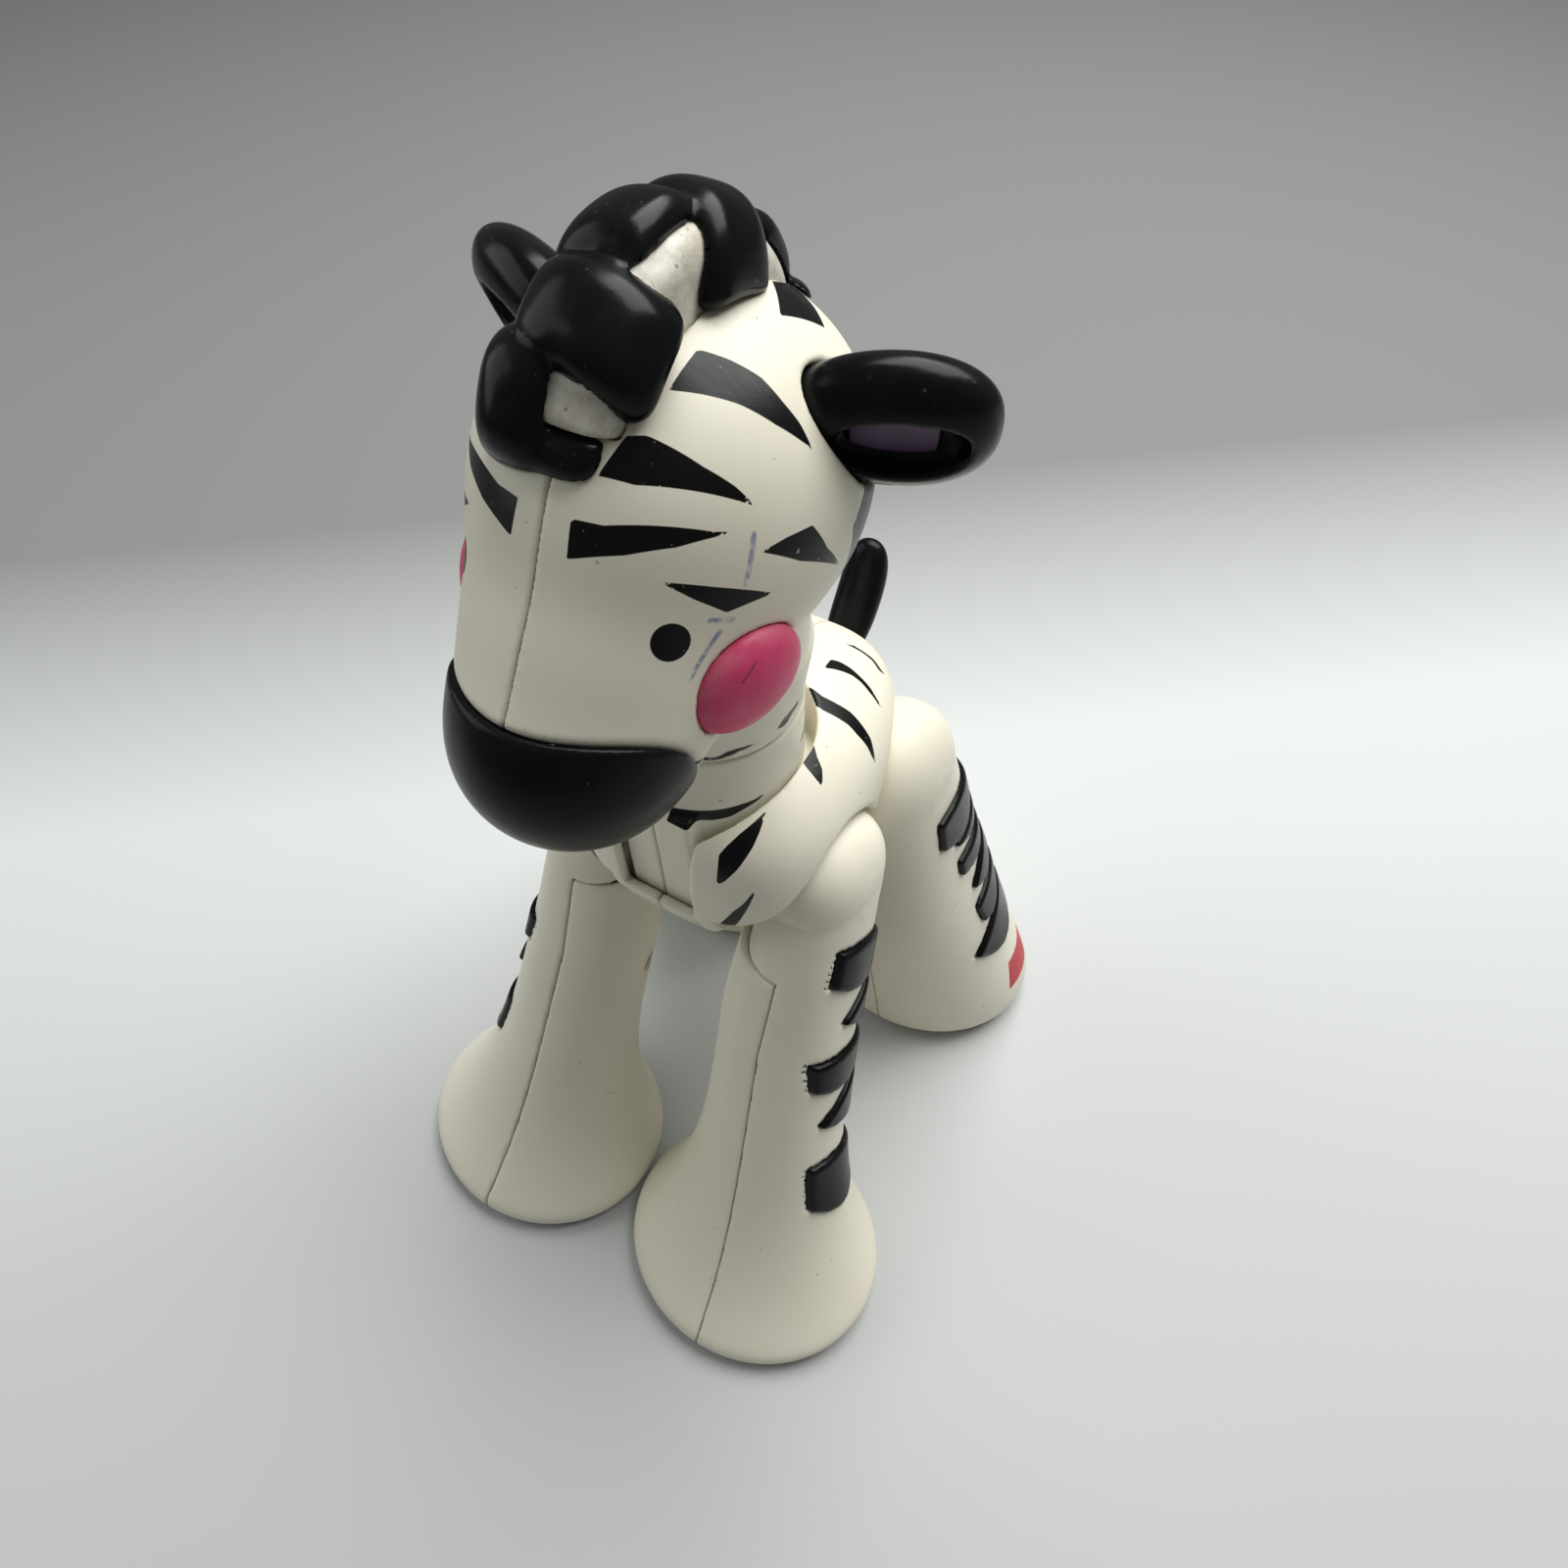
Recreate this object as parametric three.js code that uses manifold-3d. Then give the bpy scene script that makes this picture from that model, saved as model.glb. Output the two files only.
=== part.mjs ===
// Jointed click-leg zebra toy: hollow moulded half shells, a nodding and turning head,
// four ratcheting legs on fixed axles and a sealed bead drum inside the body.
// Units are millimetres. +Z is up, the zebra faces -Y, its left side is +X.
// The origin is on the floor, at the centre of the object's bounding box.

import * as THREE from 'three';
import { ParametricGeometry } from 'three/addons/geometries/ParametricGeometry.js';
import { mergeVertices } from 'three/addons/utils/BufferGeometryUtils.js';
import Module from 'manifold-3d';

const wasm = await Module();
wasm.setup();

// Driving dimensions
const WALL = 1.7;
const GAP = 0.3;
const RUNNING = 0.1;
const PARTING = 0.24;
const FRONT_HIP_Y = -0.8;
const FRONT_HIP_Z = 83.1;
const HIND_HIP_Y = 22.6;
const HIND_HIP_Z = 81.2;
const HIP_X = 16.7;
const HIP_SHIFT = 1.9;
const FOOT_Y = 37.8;
const FOOT_HALF_X = 24.0;
const FEET_GAP = 0.8;
const FOOT_X = FOOT_HALF_X + FEET_GAP / 2;
const FOOT_HALF_Y = 20.6;
const FOOT_WIDEST_Z = 4.5;
const RIM_Z = 1.4;
const SHELL_SPLIT_Z = 72;
const SCREW_Z = 48;
const PAD_RISE = 0.9;
const SOLE_X = 19.8;
const SOLE_Y = 16.4;
const AXLE_R = 2.5;
const AXLE_END_X = 23.8;
const BOSS_R = 5.0;
const WHEEL_R = 5.4;
const WHEEL_TEETH = 9;
const BODY_FRONT_Y = -17.8;
const BODY_REAR_Y = 37.8;
const BODY_MID_Y = 4;
const BODY_MID_Z = 88.4;
const BODY_HALF_Z = 16.4;
const BODY_HALF_X = 22;
const POCKET_GAP = 1.0;
const NECK_FAN_R = 14.9;
const NECK_FAN_X = 5.8;
const NECK_FAN_LOW_Z = 74;
const NECK_FAN_REAR_Y = 6.6;
const SADDLE_R = 18.4;
const COLLAR_GAP = 0.6;
const COLUMN_LOW_Z = 96.5;
const NECK_TOP_R = 12.9;
const NECK_TOP_Z = 113;
const NECK_TOP_Y = 0.2;
const HEAD_RIM_Z = NECK_TOP_Z + 0.5;
const SLOT_HALF_X = 6.4;
const SLOT_LOW_Z = 83.5;
const STUB_R = 7.4;
const STUB_TOP_Z = NECK_TOP_Z + 3.4;
const DRUM_CUP_R = 5.4;
const DRUM_CUP_Y = 14.2;
const DRUM_CUP_Z = 83;
const DRUM_CUP_X = 5.3;
const BEAD_R = 1.5;
const RIDGE_Y = -1.9;
const RIDGE_Z = 157;
const MUZZLE_TOP_Z = 142.9;
const HEAD_EYE = [0, -12, 140];

// Joint travel that the openings are cut for, in degrees
const NOD_FORWARD = 4;
const NOD_BACK = 8;
const LEG_OUTWARD = 20;
const LEG_INWARD = 10;

const rad = THREE.MathUtils.degToRad;
const clamp = THREE.MathUtils.clamp;
const smooth = (t) => THREE.MathUtils.smoothstep(t, 0, 1);

// Solids and boolean work
function solid(geometry) {
  const bare = geometry.index ? geometry.toNonIndexed() : geometry.clone();
  for (const name of Object.keys(bare.attributes)) {
    if (name !== 'position') {
      bare.deleteAttribute(name);
    }
  }
  const merged = mergeVertices(bare, 2e-4);
  const xyz = merged.attributes.position.array;
  const index = merged.index.array;
  const faces = [];
  let volume = 0;
  for (let i = 0; i < index.length; i += 3) {
    const [a, b, c] = [index[i], index[i + 1], index[i + 2]];
    if (a !== b && b !== c && a !== c) {
      faces.push(a, b, c);
      const [p, q, r] = [a, b, c].map((k) => new THREE.Vector3().fromArray(xyz, 3 * k));
      volume += p.dot(q.cross(r));
    }
  }
  if (volume < 0) {
    for (let i = 0; i < faces.length; i += 3) {
      [faces[i], faces[i + 1]] = [faces[i + 1], faces[i]];
    }
  }
  return new wasm.Manifold(
    new wasm.Mesh({
      numProp: 3,
      vertProperties: new Float32Array(xyz),
      triVerts: new Uint32Array(faces),
    }),
  );
}

function geometryOf(shape) {
  const mesh = shape.getMesh();
  const geometry = new THREE.BufferGeometry();
  geometry.setAttribute('position', new THREE.BufferAttribute(mesh.vertProperties, 3));
  geometry.setIndex(new THREE.BufferAttribute(mesh.triVerts, 1));
  return geometry;
}

const moved = (shape, matrix) => solid(geometryOf(shape).applyMatrix4(matrix));
const mirrored = (shape) => moved(shape, new THREE.Matrix4().makeScale(-1, 1, 1));
const joined = (...shapes) => shapes.reduce((sum, one) => sum.add(one));

function turnedAboutX(shape, degrees, y, z) {
  const back = new THREE.Matrix4().makeTranslation(0, y, z);
  const turn = new THREE.Matrix4().makeRotationX(rad(degrees));
  const toAxis = new THREE.Matrix4().makeTranslation(0, -y, -z);
  return moved(shape, back.multiply(turn).multiply(toAxis));
}

function box(x0, x1, y0, y1, z0, z1) {
  const geometry = new THREE.BoxGeometry(x1 - x0, y1 - y0, z1 - z0);
  geometry.translate((x0 + x1) / 2, (y0 + y1) / 2, (z0 + z1) / 2);
  return solid(geometry);
}

// A round bar along X from x0 to x1
function barX(radius, x0, x1, y = 0, z = 0, sides = 14) {
  const geometry = new THREE.CylinderGeometry(radius, radius, x1 - x0, sides);
  geometry.rotateZ(Math.PI / 2);
  geometry.translate((x0 + x1) / 2, y, z);
  return solid(geometry);
}

// A round bar along Z from z0 to z1
function barZ(radius, z0, z1, x = 0, y = 0, sides = 18) {
  const geometry = new THREE.CylinderGeometry(radius, radius, z1 - z0, sides);
  geometry.rotateX(Math.PI / 2);
  geometry.translate(x, y, (z0 + z1) / 2);
  return solid(geometry);
}

// A flat shape drawn in (y, z) and extruded along X
function plateX(points, x0, x1) {
  const shape = new THREE.Shape(points.map(([y, z]) => new THREE.Vector2(y, z)));
  const geometry = new THREE.ExtrudeGeometry(shape, { depth: x1 - x0, bevelEnabled: false });
  geometry.applyMatrix4(new THREE.Matrix4().set(0, 0, 1, x0, 1, 0, 0, 0, 0, 1, 0, 0, 0, 0, 0, 1));
  return solid(geometry);
}

// A closed surface: point(u, v) goes round once in u and from pole to pole in v
function skin(point, around, along) {
  const place = (u, v, target) => target.set(...point(u % 1, v));
  return solid(new ParametricGeometry(place, around, along));
}

// A closed loft: one ring per row, with a flat or pointed close at both ends
function loft(rows, ring, around) {
  const close = (row) => {
    const centre = [0, 0, 0];
    for (let i = 0; i < around; i += 1) {
      ring(row, (2 * Math.PI * i) / around).forEach((value, axis) => {
        centre[axis] += value / around;
      });
    }
    return centre;
  };
  const ends = [close(rows[0]), close(rows[rows.length - 1])];
  const last = rows.length + 1;
  return skin(
    (u, v) => {
      const k = Math.round(v * last);
      if (k === 0 || k === last) {
        return ends[k === 0 ? 0 : 1];
      }
      return ring(rows[k - 1], 2 * Math.PI * (Math.round(u * around) / around));
    },
    around,
    last,
  );
}

const steps = (count, from = 0, to = 1) =>
  Array.from({ length: count + 1 }, (_, i) => from + ((to - from) * i) / count);
const power = (value, exponent) => Math.sign(value) * Math.abs(value) ** exponent;
const rounding = (t, exponent) => Math.max(0, 1 - clamp(Math.abs(t), 0, 1) ** exponent) ** (1 / exponent);

// Body shell: sections across Y, rounded at the chest and sloping down to the rump
function bodySection(y, inset) {
  const reach = y < BODY_MID_Y ? BODY_MID_Y - BODY_FRONT_Y : BODY_REAR_Y - BODY_MID_Y;
  const t = (y - BODY_MID_Y) / (reach - inset);
  const bluntness = y < BODY_MID_Y ? 3.2 : 2.1;
  const share = rounding(t, bluntness);
  return { halfX: (BODY_HALF_X - inset) * share, halfZ: (BODY_HALF_Z - inset) * share };
}

function bodyForm(inset, around, along) {
  const rows = steps(along, -0.985, 0.985).map((t) => {
    const turn = Math.sin((t * Math.PI) / 2);
    const reach = t < 0 ? BODY_MID_Y - BODY_FRONT_Y : BODY_REAR_Y - BODY_MID_Y;
    return BODY_MID_Y + turn * (reach - inset);
  });
  return loft(
    rows,
    (y, angle) => {
      const { halfX, halfZ } = bodySection(y, inset);
      return [
        halfX * power(Math.cos(angle), 0.72),
        y,
        BODY_MID_Z + halfZ * power(Math.sin(angle), 0.72),
      ];
    },
    around,
  );
}

// Neck: a round column that rides over a saddle about the nod axis, with a fan below it
const neckForward = (z) => THREE.MathUtils.lerp(15.6, NECK_TOP_R, smooth((z - 100) / (NECK_TOP_Z - 100)));

function neckColumn(grow, around, along) {
  const rows = steps(along, COLUMN_LOW_Z - grow, NECK_TOP_Z + grow);
  const column = loft(
    rows,
    (z, angle) => {
      const halfY = (Math.sin(angle) < 0 ? neckForward(z) : NECK_TOP_R) + grow;
      return [(NECK_TOP_R + grow) * Math.cos(angle), NECK_TOP_Y + halfY * Math.sin(angle), z];
    },
    around,
  );
  return column.subtract(barX(SADDLE_R - grow, -30, 30, FRONT_HIP_Y, FRONT_HIP_Z, 22));
}

function neckFan(grow, top = 104) {
  const low = NECK_FAN_LOW_Z - grow;
  const rear = NECK_FAN_REAR_Y + grow;
  const front = FRONT_HIP_Y - NECK_FAN_R - grow;
  const wide = NECK_FAN_X + grow;
  const round = barX(NECK_FAN_R + grow, -wide, wide, FRONT_HIP_Y, FRONT_HIP_Z, 20);
  return round.add(box(-wide, wide, front, rear, FRONT_HIP_Z, top)).intersect(box(-20, 20, -40, rear, low, top));
}

// Head: a smooth union of rounded lumps, met along rays from a point inside it
const HEAD_LUMPS = [
  { at: [0, -1.4, 150], half: [20.6, 23.2, 20] },
  { at: [0, -14.6, 139.5], half: [15.6, 17, 15] },
  { at: [0, -24.6, 131.4], half: [13.2, 13.6, 12.6] },
  { at: [0, 0.2, 127], half: [13.4, 13.4, 16] },
];
const HEAD_BLEND = 9;

function headField(x, y, z) {
  let sum = 0;
  for (const { at, half } of HEAD_LUMPS) {
    const [px, py, pz] = [x - at[0], y - at[1], z - at[2]];
    const k0 = Math.hypot(px / half[0], py / half[1], pz / half[2]);
    const k1 = Math.hypot(px / half[0] ** 2, py / half[1] ** 2, pz / half[2] ** 2);
    sum += Math.exp(-((k0 * (k0 - 1)) / k1) * (4 / HEAD_BLEND));
  }
  return -Math.log(sum) * (HEAD_BLEND / 4);
}

function headPoint(direction, level) {
  let near = 4;
  let far = 60;
  for (let i = 0; i < 26; i += 1) {
    const middle = (near + far) / 2;
    const value = headField(
      HEAD_EYE[0] + direction.x * middle,
      HEAD_EYE[1] + direction.y * middle,
      HEAD_EYE[2] + direction.z * middle,
    );
    if (value < level) {
      near = middle;
    } else {
      far = middle;
    }
  }
  return [
    HEAD_EYE[0] + direction.x * near,
    HEAD_EYE[1] + direction.y * near,
    HEAD_EYE[2] + direction.z * near,
  ];
}

function headForm(level, around, along) {
  return skin(
    (u, v) => {
      const angle = 2 * Math.PI * u;
      const tilt = Math.PI * v;
      const direction = new THREE.Vector3(
        Math.sin(tilt) * Math.sin(angle),
        -Math.sin(tilt) * Math.cos(angle),
        -Math.cos(tilt),
      );
      return headPoint(direction, level);
    },
    around,
    along,
  );
}

// Muzzle boundary: a bowed sheet that everything dark lies in front of
function muzzleBlock(shift) {
  const shape = new THREE.Shape();
  const edge = (x) => -35.1 - shift + 0.036 * x * x;
  shape.moveTo(-24, -80);
  for (const x of steps(8, -24, 24)) {
    shape.lineTo(x, edge(x));
  }
  shape.lineTo(24, -80);
  const geometry = new THREE.ExtrudeGeometry(shape, { depth: 60, bevelEnabled: false });
  const slope = -0.5;
  const low = 100;
  const drift = -slope * (MUZZLE_TOP_Z - low);
  geometry.applyMatrix4(new THREE.Matrix4().set(1, 0, 0, 0, 0, 1, slope, drift, 0, 0, 1, low, 0, 0, 0, 1));
  return solid(geometry);
}

// Legs: level sections that swell into the round foot and close in a dome above the hip
function legSection(hip, z, inset) {
  const below = Math.max(0, FOOT_WIDEST_Z - z);
  const away = Math.hypot(Math.max(0, z - FOOT_WIDEST_Z), hip.soft) - hip.soft;
  const swell = Math.exp(-away / hip.decay) - 0.035 * (below / 3) ** 2;
  const level = Math.min(z, hip.z);
  const narrow = HIP_SHIFT * smooth((level - 58) / 18);
  const ratio = THREE.MathUtils.lerp(FOOT_HALF_Y / FOOT_HALF_X, hip.ratio, smooth((level - 4) / 46));
  const half = hip.tube + (FOOT_HALF_X - hip.tube) * swell;
  const t = Math.max(0, z - hip.z) / (domeRadius(hip) - inset);
  const close = z > hip.z ? rounding(t, 2) : 1;
  return {
    x: THREE.MathUtils.lerp(FOOT_X, HIP_X, clamp((level - 5) / (hip.z - 5), 0, 1)) + narrow,
    y: hip.lean * (1 - level / hip.z),
    halfX: (half - narrow - inset) * (z > hip.z ? rounding(t, 2.6) : 1),
    halfY: (half * ratio - inset) * close,
  };
}

const domeRadius = (hip) => {
  const swell = Math.exp(-(hip.z - FOOT_WIDEST_Z) / hip.decay);
  return (hip.tube + (FOOT_HALF_X - hip.tube) * swell) * hip.ratio;
};
const legMiddleX = (hip, z) => legSection(hip, z, 0).x;

// A whole leg about its hip axis, from the foot rim (or deeper) up to the dome
function legForm(hip, inset, around, low = RIM_Z) {
  const dome = domeRadius(hip) - inset;
  const levels = [
    low,
    ...[0.037, 0.09, 0.17, 0.3, 0.52, 1].map((t) => RIM_Z + (hip.z - RIM_Z) * t),
    ...[0.45, 0.8, 0.985].map((t) => hip.z + dome * t),
  ];
  return loft(
    levels,
    (z, angle) => {
      const { x, y, halfX, halfY } = legSection(hip, z, inset);
      const squareness = THREE.MathUtils.lerp(1, 0.86, smooth((z - 25) / 30));
      return [x + halfX * power(Math.cos(angle), squareness), y + halfY * power(Math.sin(angle), squareness), z - hip.z];
    },
    around,
  );
}

// The pocket beside the body that a leg swings in
function legPocket(hip, grow) {
  const { y, z, lean } = hip;
  const reach = domeRadius(hip) + grow;
  const { x, halfX } = legSection(hip, z, 0);
  const x0 = x - halfX - grow;
  const way = Math.sign(lean);
  const side = (tilt, facing) => {
    const [s, c] = [Math.sin(tilt), Math.cos(tilt)];
    const at = [y + facing * reach * c, z + facing * reach * s];
    return [at, [at[0] + 60 * s + facing * 3, at[1] - 60 * c]];
  };
  const tilt = (turn) => way * (Math.atan2(Math.abs(lean), z) + rad(turn));
  const [high, low] = side(tilt(LEG_OUTWARD), way);
  const [nearHigh, nearLow] = side(tilt(-LEG_INWARD), -way);
  const wedge = plateX([high, low, nearLow, nearHigh], x0, 60);
  const crown = loft(
    [-0.999, -0.82, -0.5, 0],
    (t, angle) => {
      const across = reach * rounding(t, 2.2);
      return [x + (halfX + grow) * t, y + across * Math.cos(angle), z + across * Math.sin(angle)];
    },
    14,
  );
  return joined(wedge, crown, barX(reach, x, 60, y, z, 14));
}

// Materials
const finish = (color, roughness, metalness = 0) =>
  new THREE.MeshStandardMaterial({ color, roughness, metalness });
const creamPlastic = () => finish('#ece7da', 0.42);
const blackPlastic = () => finish('#141416', 0.38);
const blackRubber = () => finish('#161618', 0.34);
const clickPlastic = () => finish('#d9d6cc', 0.5);
const steel = () => finish('#a9adb2', 0.35, 0.9);

const toy = new THREE.Group();

function add(group, name, shape, material) {
  const mesh = new THREE.Mesh(geometryOf(shape), material);
  mesh.name = name;
  group.add(mesh);
  return mesh;
}

// Body: two half shells with bores for the two through axles
const bothSides = (shape) => shape.add(mirrored(shape));
const nodSweep = (degrees, z) => Math.tan(rad(degrees)) * (z - FRONT_HIP_Z);

// The room the neck column sweeps through as it nods
function neckClearanceAboveSaddle(grow, around) {
  const column = loft(
    [COLUMN_LOW_Z - 1.7 - grow, COLUMN_LOW_Z + 4, BODY_MID_Z + BODY_HALF_Z, 130],
    (z, angle) => {
      const ahead = neckForward(z) + nodSweep(NOD_FORWARD, z) + grow;
      const behind = nodSweep(NOD_BACK, z) + (NECK_TOP_R + grow) * Math.sin(angle);
      const y = Math.sin(angle) > 0.01 ? behind : ahead * Math.sin(angle);
      return [(NECK_TOP_R + grow) * Math.cos(angle), NECK_TOP_Y + y, z];
    },
    around,
  );
  return column.subtract(barX(SADDLE_R - grow, -30, 30, FRONT_HIP_Y, FRONT_HIP_Z, 22));
}

const fanSlot = box(-SLOT_HALF_X, SLOT_HALF_X, -30, 11, SLOT_LOW_Z, 120).add(
  barX(NECK_FAN_R + COLLAR_GAP, -SLOT_HALF_X, SLOT_HALF_X, FRONT_HIP_Y, FRONT_HIP_Z, 20),
);
const hips = [
  {
    tag: 'front',
    y: FRONT_HIP_Y,
    z: FRONT_HIP_Z,
    lean: -FOOT_Y - FRONT_HIP_Y,
    tube: 10.4,
    decay: 14.7,
    soft: 1.5,
    ratio: 1.02,
    pads: [
      { from: [-11.2, 75.2], to: [3.6, 67.6], half: 3.1, blunt: 'from' },
      { from: [-12.8, 62.7], to: [2.0, 59.4], half: 2.7, blunt: 'to' },
      { from: [-21.0, 55.3], to: [-4.6, 49.6], half: 2.6, blunt: 'from' },
      { from: [-23.4, 44.1], to: [-6.8, 42.2], half: 2.8, blunt: 'to' },
      { from: [-30.2, 31.6], to: [-13.0, 24.4], half: 4.4, blunt: 'from' },
    ],
  },
  {
    tag: 'hind',
    y: HIND_HIP_Y,
    z: HIND_HIP_Z,
    lean: FOOT_Y - HIND_HIP_Y,
    tube: 8,
    decay: 44,
    soft: 6,
    ratio: 1.11,
    pads: [
      { from: [20.4, 71.8], to: [37.6, 72.4], half: 3.2, blunt: 'from' },
      { from: [25.0, 65.0], to: [38.6, 65.4], half: 1.1, blunt: 'to' },
      { from: [25.4, 58.0], to: [39.6, 58.6], half: 1.7, blunt: 'from' },
      { from: [29.0, 48.4], to: [41.0, 51.8], half: 2.4, blunt: 'to' },
      { from: [29.6, 39.6], to: [43.2, 42.6], half: 2.8, blunt: 'from' },
      { from: [26.4, 29.2], to: [44.6, 31.4], half: 4.0, blunt: 'to' },
    ],
  },
];
const pockets = (grow) => bothSides(joined(...hips.map((hip) => legPocket(hip, grow))));

const hipBosses = hips.map(({ y, z }) => bothSides(barX(BOSS_R, 6.4, 10.4, y, z)));
const axleBores = hips.map(({ y, z }) => barX(AXLE_R + 0.15, -30, 30, y, z));

function tailPlume(wide, thick, start, end, around, along) {
  return skin(
    (u, v) => {
      const angle = 2 * Math.PI * u;
      const share = rounding(2 * v - 1, 2.6);
      const t = start + (end - start) * v;
      const y = 37.6 + 11.4 * Math.sin(t * 1.5);
      const z = 83 + 18.8 * t;
      return [wide * share * Math.cos(angle), y + thick * share * Math.sin(angle), z];
    },
    around,
    along,
  );
}

function tailForm(grow) {
  const root = new THREE.CylinderGeometry(2.6 + grow, 2.6 + grow, 12 + 2 * grow, 10);
  root.translate(0, 36, 87);
  return tailPlume(4 + grow, 2.9 + grow, 0, 1, 10, 7).add(solid(root));
}

const bodyHollow = bodyForm(WALL, 12, 6)
  .subtract(pockets(POCKET_GAP + WALL))
  .subtract(neckClearanceAboveSaddle(COLLAR_GAP + WALL, 12));
const bodyShell = joined(bodyForm(0, 24, 10).subtract(pockets(POCKET_GAP)), ...hipBosses)
  .subtract(bodyHollow)
  .subtract(neckClearanceAboveSaddle(COLLAR_GAP, 18))
  .subtract(fanSlot)
  .subtract(joined(...axleBores))
  .subtract(tailForm(GAP));

add(toy, 'body_left_shell', bodyShell.intersect(box(PARTING / 2, 80, -90, 90, 0, 200)), creamPlastic());
add(toy, 'body_right_shell', bodyShell.intersect(box(-80, -PARTING / 2, -90, 90, 0, 200)), creamPlastic());
const tailGroove = moved(tailPlume(1.8, 2.0, 0.24, 0.9, 8, 6), new THREE.Matrix4().makeTranslation(0, 2.6, 0));
add(toy, 'tail', tailForm(0).subtract(tailGroove), blackPlastic());

// Through axles
for (const { tag, y, z } of hips) {
  add(toy, `${tag}_axle`, barX(AXLE_R, -AXLE_END_X, AXLE_END_X, y, z), steel());
}

// Bead drum: an open cup with a lid, and three loose beads
const cup = barX(DRUM_CUP_R, -DRUM_CUP_X, DRUM_CUP_X - 1.5, DRUM_CUP_Y, DRUM_CUP_Z, 16)
  .subtract(barX(DRUM_CUP_R - 1.1, -DRUM_CUP_X + 1.1, DRUM_CUP_X, DRUM_CUP_Y, DRUM_CUP_Z, 16));
add(toy, 'bead_drum', cup, clickPlastic());
const lid = barX(DRUM_CUP_R, DRUM_CUP_X - 1.5 + GAP, DRUM_CUP_X, DRUM_CUP_Y, DRUM_CUP_Z, 16);
add(toy, 'bead_drum_lid', lid, clickPlastic());
const beadColours = ['#d8452f', '#e8b72c', '#3f7fc4'];
[-50, 0, 50].forEach((angle, i) => {
  const reach = DRUM_CUP_R - 1.1 - BEAD_R - GAP;
  const geometry = new THREE.SphereGeometry(BEAD_R, 8, 6);
  const mesh = add(toy, `bead_${i + 1}`, solid(geometry), finish(beadColours[i], 0.3));
  const [across, down] = [reach * Math.sin(rad(angle)), reach * Math.cos(rad(angle))];
  mesh.position.set(i === 1 ? 1.3 : -1.9, DRUM_CUP_Y + across, DRUM_CUP_Z - down);
});

// Neck: two half shells turning on the front axle, with a stub that carries the head
const stub = barZ(STUB_R, NECK_TOP_Z - 1, STUB_TOP_Z, 0, NECK_TOP_Y, 16);
const neckHollow = neckColumn(-WALL, 12, 2).add(neckFan(-WALL, 103));
const neckShell = neckColumn(0, 20, 3)
  .add(neckFan(0))
  .add(stub)
  .subtract(neckHollow)
  .subtract(barZ(STUB_R - WALL, NECK_TOP_Z - 4, STUB_TOP_Z + 2, 0, NECK_TOP_Y, 12))
  .subtract(barX(AXLE_R + RUNNING, -30, 30, FRONT_HIP_Y, FRONT_HIP_Z));
add(toy, 'neck_left_shell', neckShell.intersect(box(PARTING / 2, 80, -90, 90, 0, 200)), creamPlastic());
add(toy, 'neck_right_shell', neckShell.intersect(box(-80, -PARTING / 2, -90, 90, 0, 200)), creamPlastic());

// A click wheel: scalloped rim, round bore, lying across X
function clickWheel(radius, x0, x1, y, z) {
  const shape = new THREE.Shape();
  const points = WHEEL_TEETH * 2;
  for (let i = 0; i < points; i += 1) {
    const angle = (2 * Math.PI * i) / points;
    const reach = radius - 0.35 + 0.35 * Math.cos(angle * WHEEL_TEETH);
    shape[i ? 'lineTo' : 'moveTo'](y + reach * Math.cos(angle), z + reach * Math.sin(angle));
  }
  const geometry = new THREE.ExtrudeGeometry(shape, { depth: x1 - x0, bevelEnabled: false });
  geometry.applyMatrix4(new THREE.Matrix4().set(0, 0, 1, x0, 1, 0, 0, 0, 0, 1, 0, 0, 0, 0, 0, 1));
  return solid(geometry).subtract(barX(AXLE_R + 0.05, x0 - 1, x1 + 1, y, z));
}

// A leaf with a small round nose that rides on a click wheel from below
function clickLeaf(radius, halfLength, x0, x1, y, z) {
  const low = z - radius - 1.1;
  const leaf = box(x0, x1, y - halfLength, y + halfLength, low - 0.7, low);
  return leaf.add(barX(0.9, x0, x1, y, low - 0.1, 12));
}

add(toy, 'neck_click_wheel', clickWheel(4.4, -1.6, 1.6, FRONT_HIP_Y, FRONT_HIP_Z), clickPlastic());
add(toy, 'neck_click_leaf', clickLeaf(4.4, 5.4, 0.5, 2.1, FRONT_HIP_Y, FRONT_HIP_Z), steel());

// Head: two half shells cut by the muzzle, ears, cheeks and mane core
const neckClearance = barZ(NECK_TOP_R + 1.8, 80, HEAD_RIM_Z, 0, NECK_TOP_Y, 20);
const headFloor = barZ(NECK_TOP_R + 3.4, 80, HEAD_RIM_Z + 2, 0, NECK_TOP_Y, 16);

function leafFrame({ root, tip, face }) {
  const along = new THREE.Vector3(...tip).sub(new THREE.Vector3(...root)).normalize();
  const out = new THREE.Vector3(...face);
  out.addScaledVector(along, -out.dot(along)).normalize();
  const up = new THREE.Vector3().crossVectors(out, along).normalize();
  return new THREE.Matrix4().makeBasis(along, up, out);
}

function lump(half, exponent, around, along) {
  return skin(
    (u, v) => {
      const angle = 2 * Math.PI * u;
      const turn = Math.PI * (v - 0.5);
      const ring = power(Math.cos(turn), exponent);
      return [
        half[0] * power(Math.sin(turn), exponent),
        half[1] * ring * Math.cos(angle),
        half[2] * ring * Math.sin(angle),
      ];
    },
    around,
    along,
  );
}

const EAR = { root: [12.2, 1.2, 159.2], tip: [30.6, 9.0, 158.8], face: [0.37, -0.86, -0.31] };
const EAR_DROP = -0.8;

function placedInEar(shape, shift) {
  const frame = leafFrame(EAR);
  const middle = new THREE.Vector3(...EAR.root).lerp(new THREE.Vector3(...EAR.tip), 0.5);
  const at = new THREE.Vector3(...shift).applyMatrix4(frame).add(middle);
  return moved(shape, frame.clone().setPosition(at));
}

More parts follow.
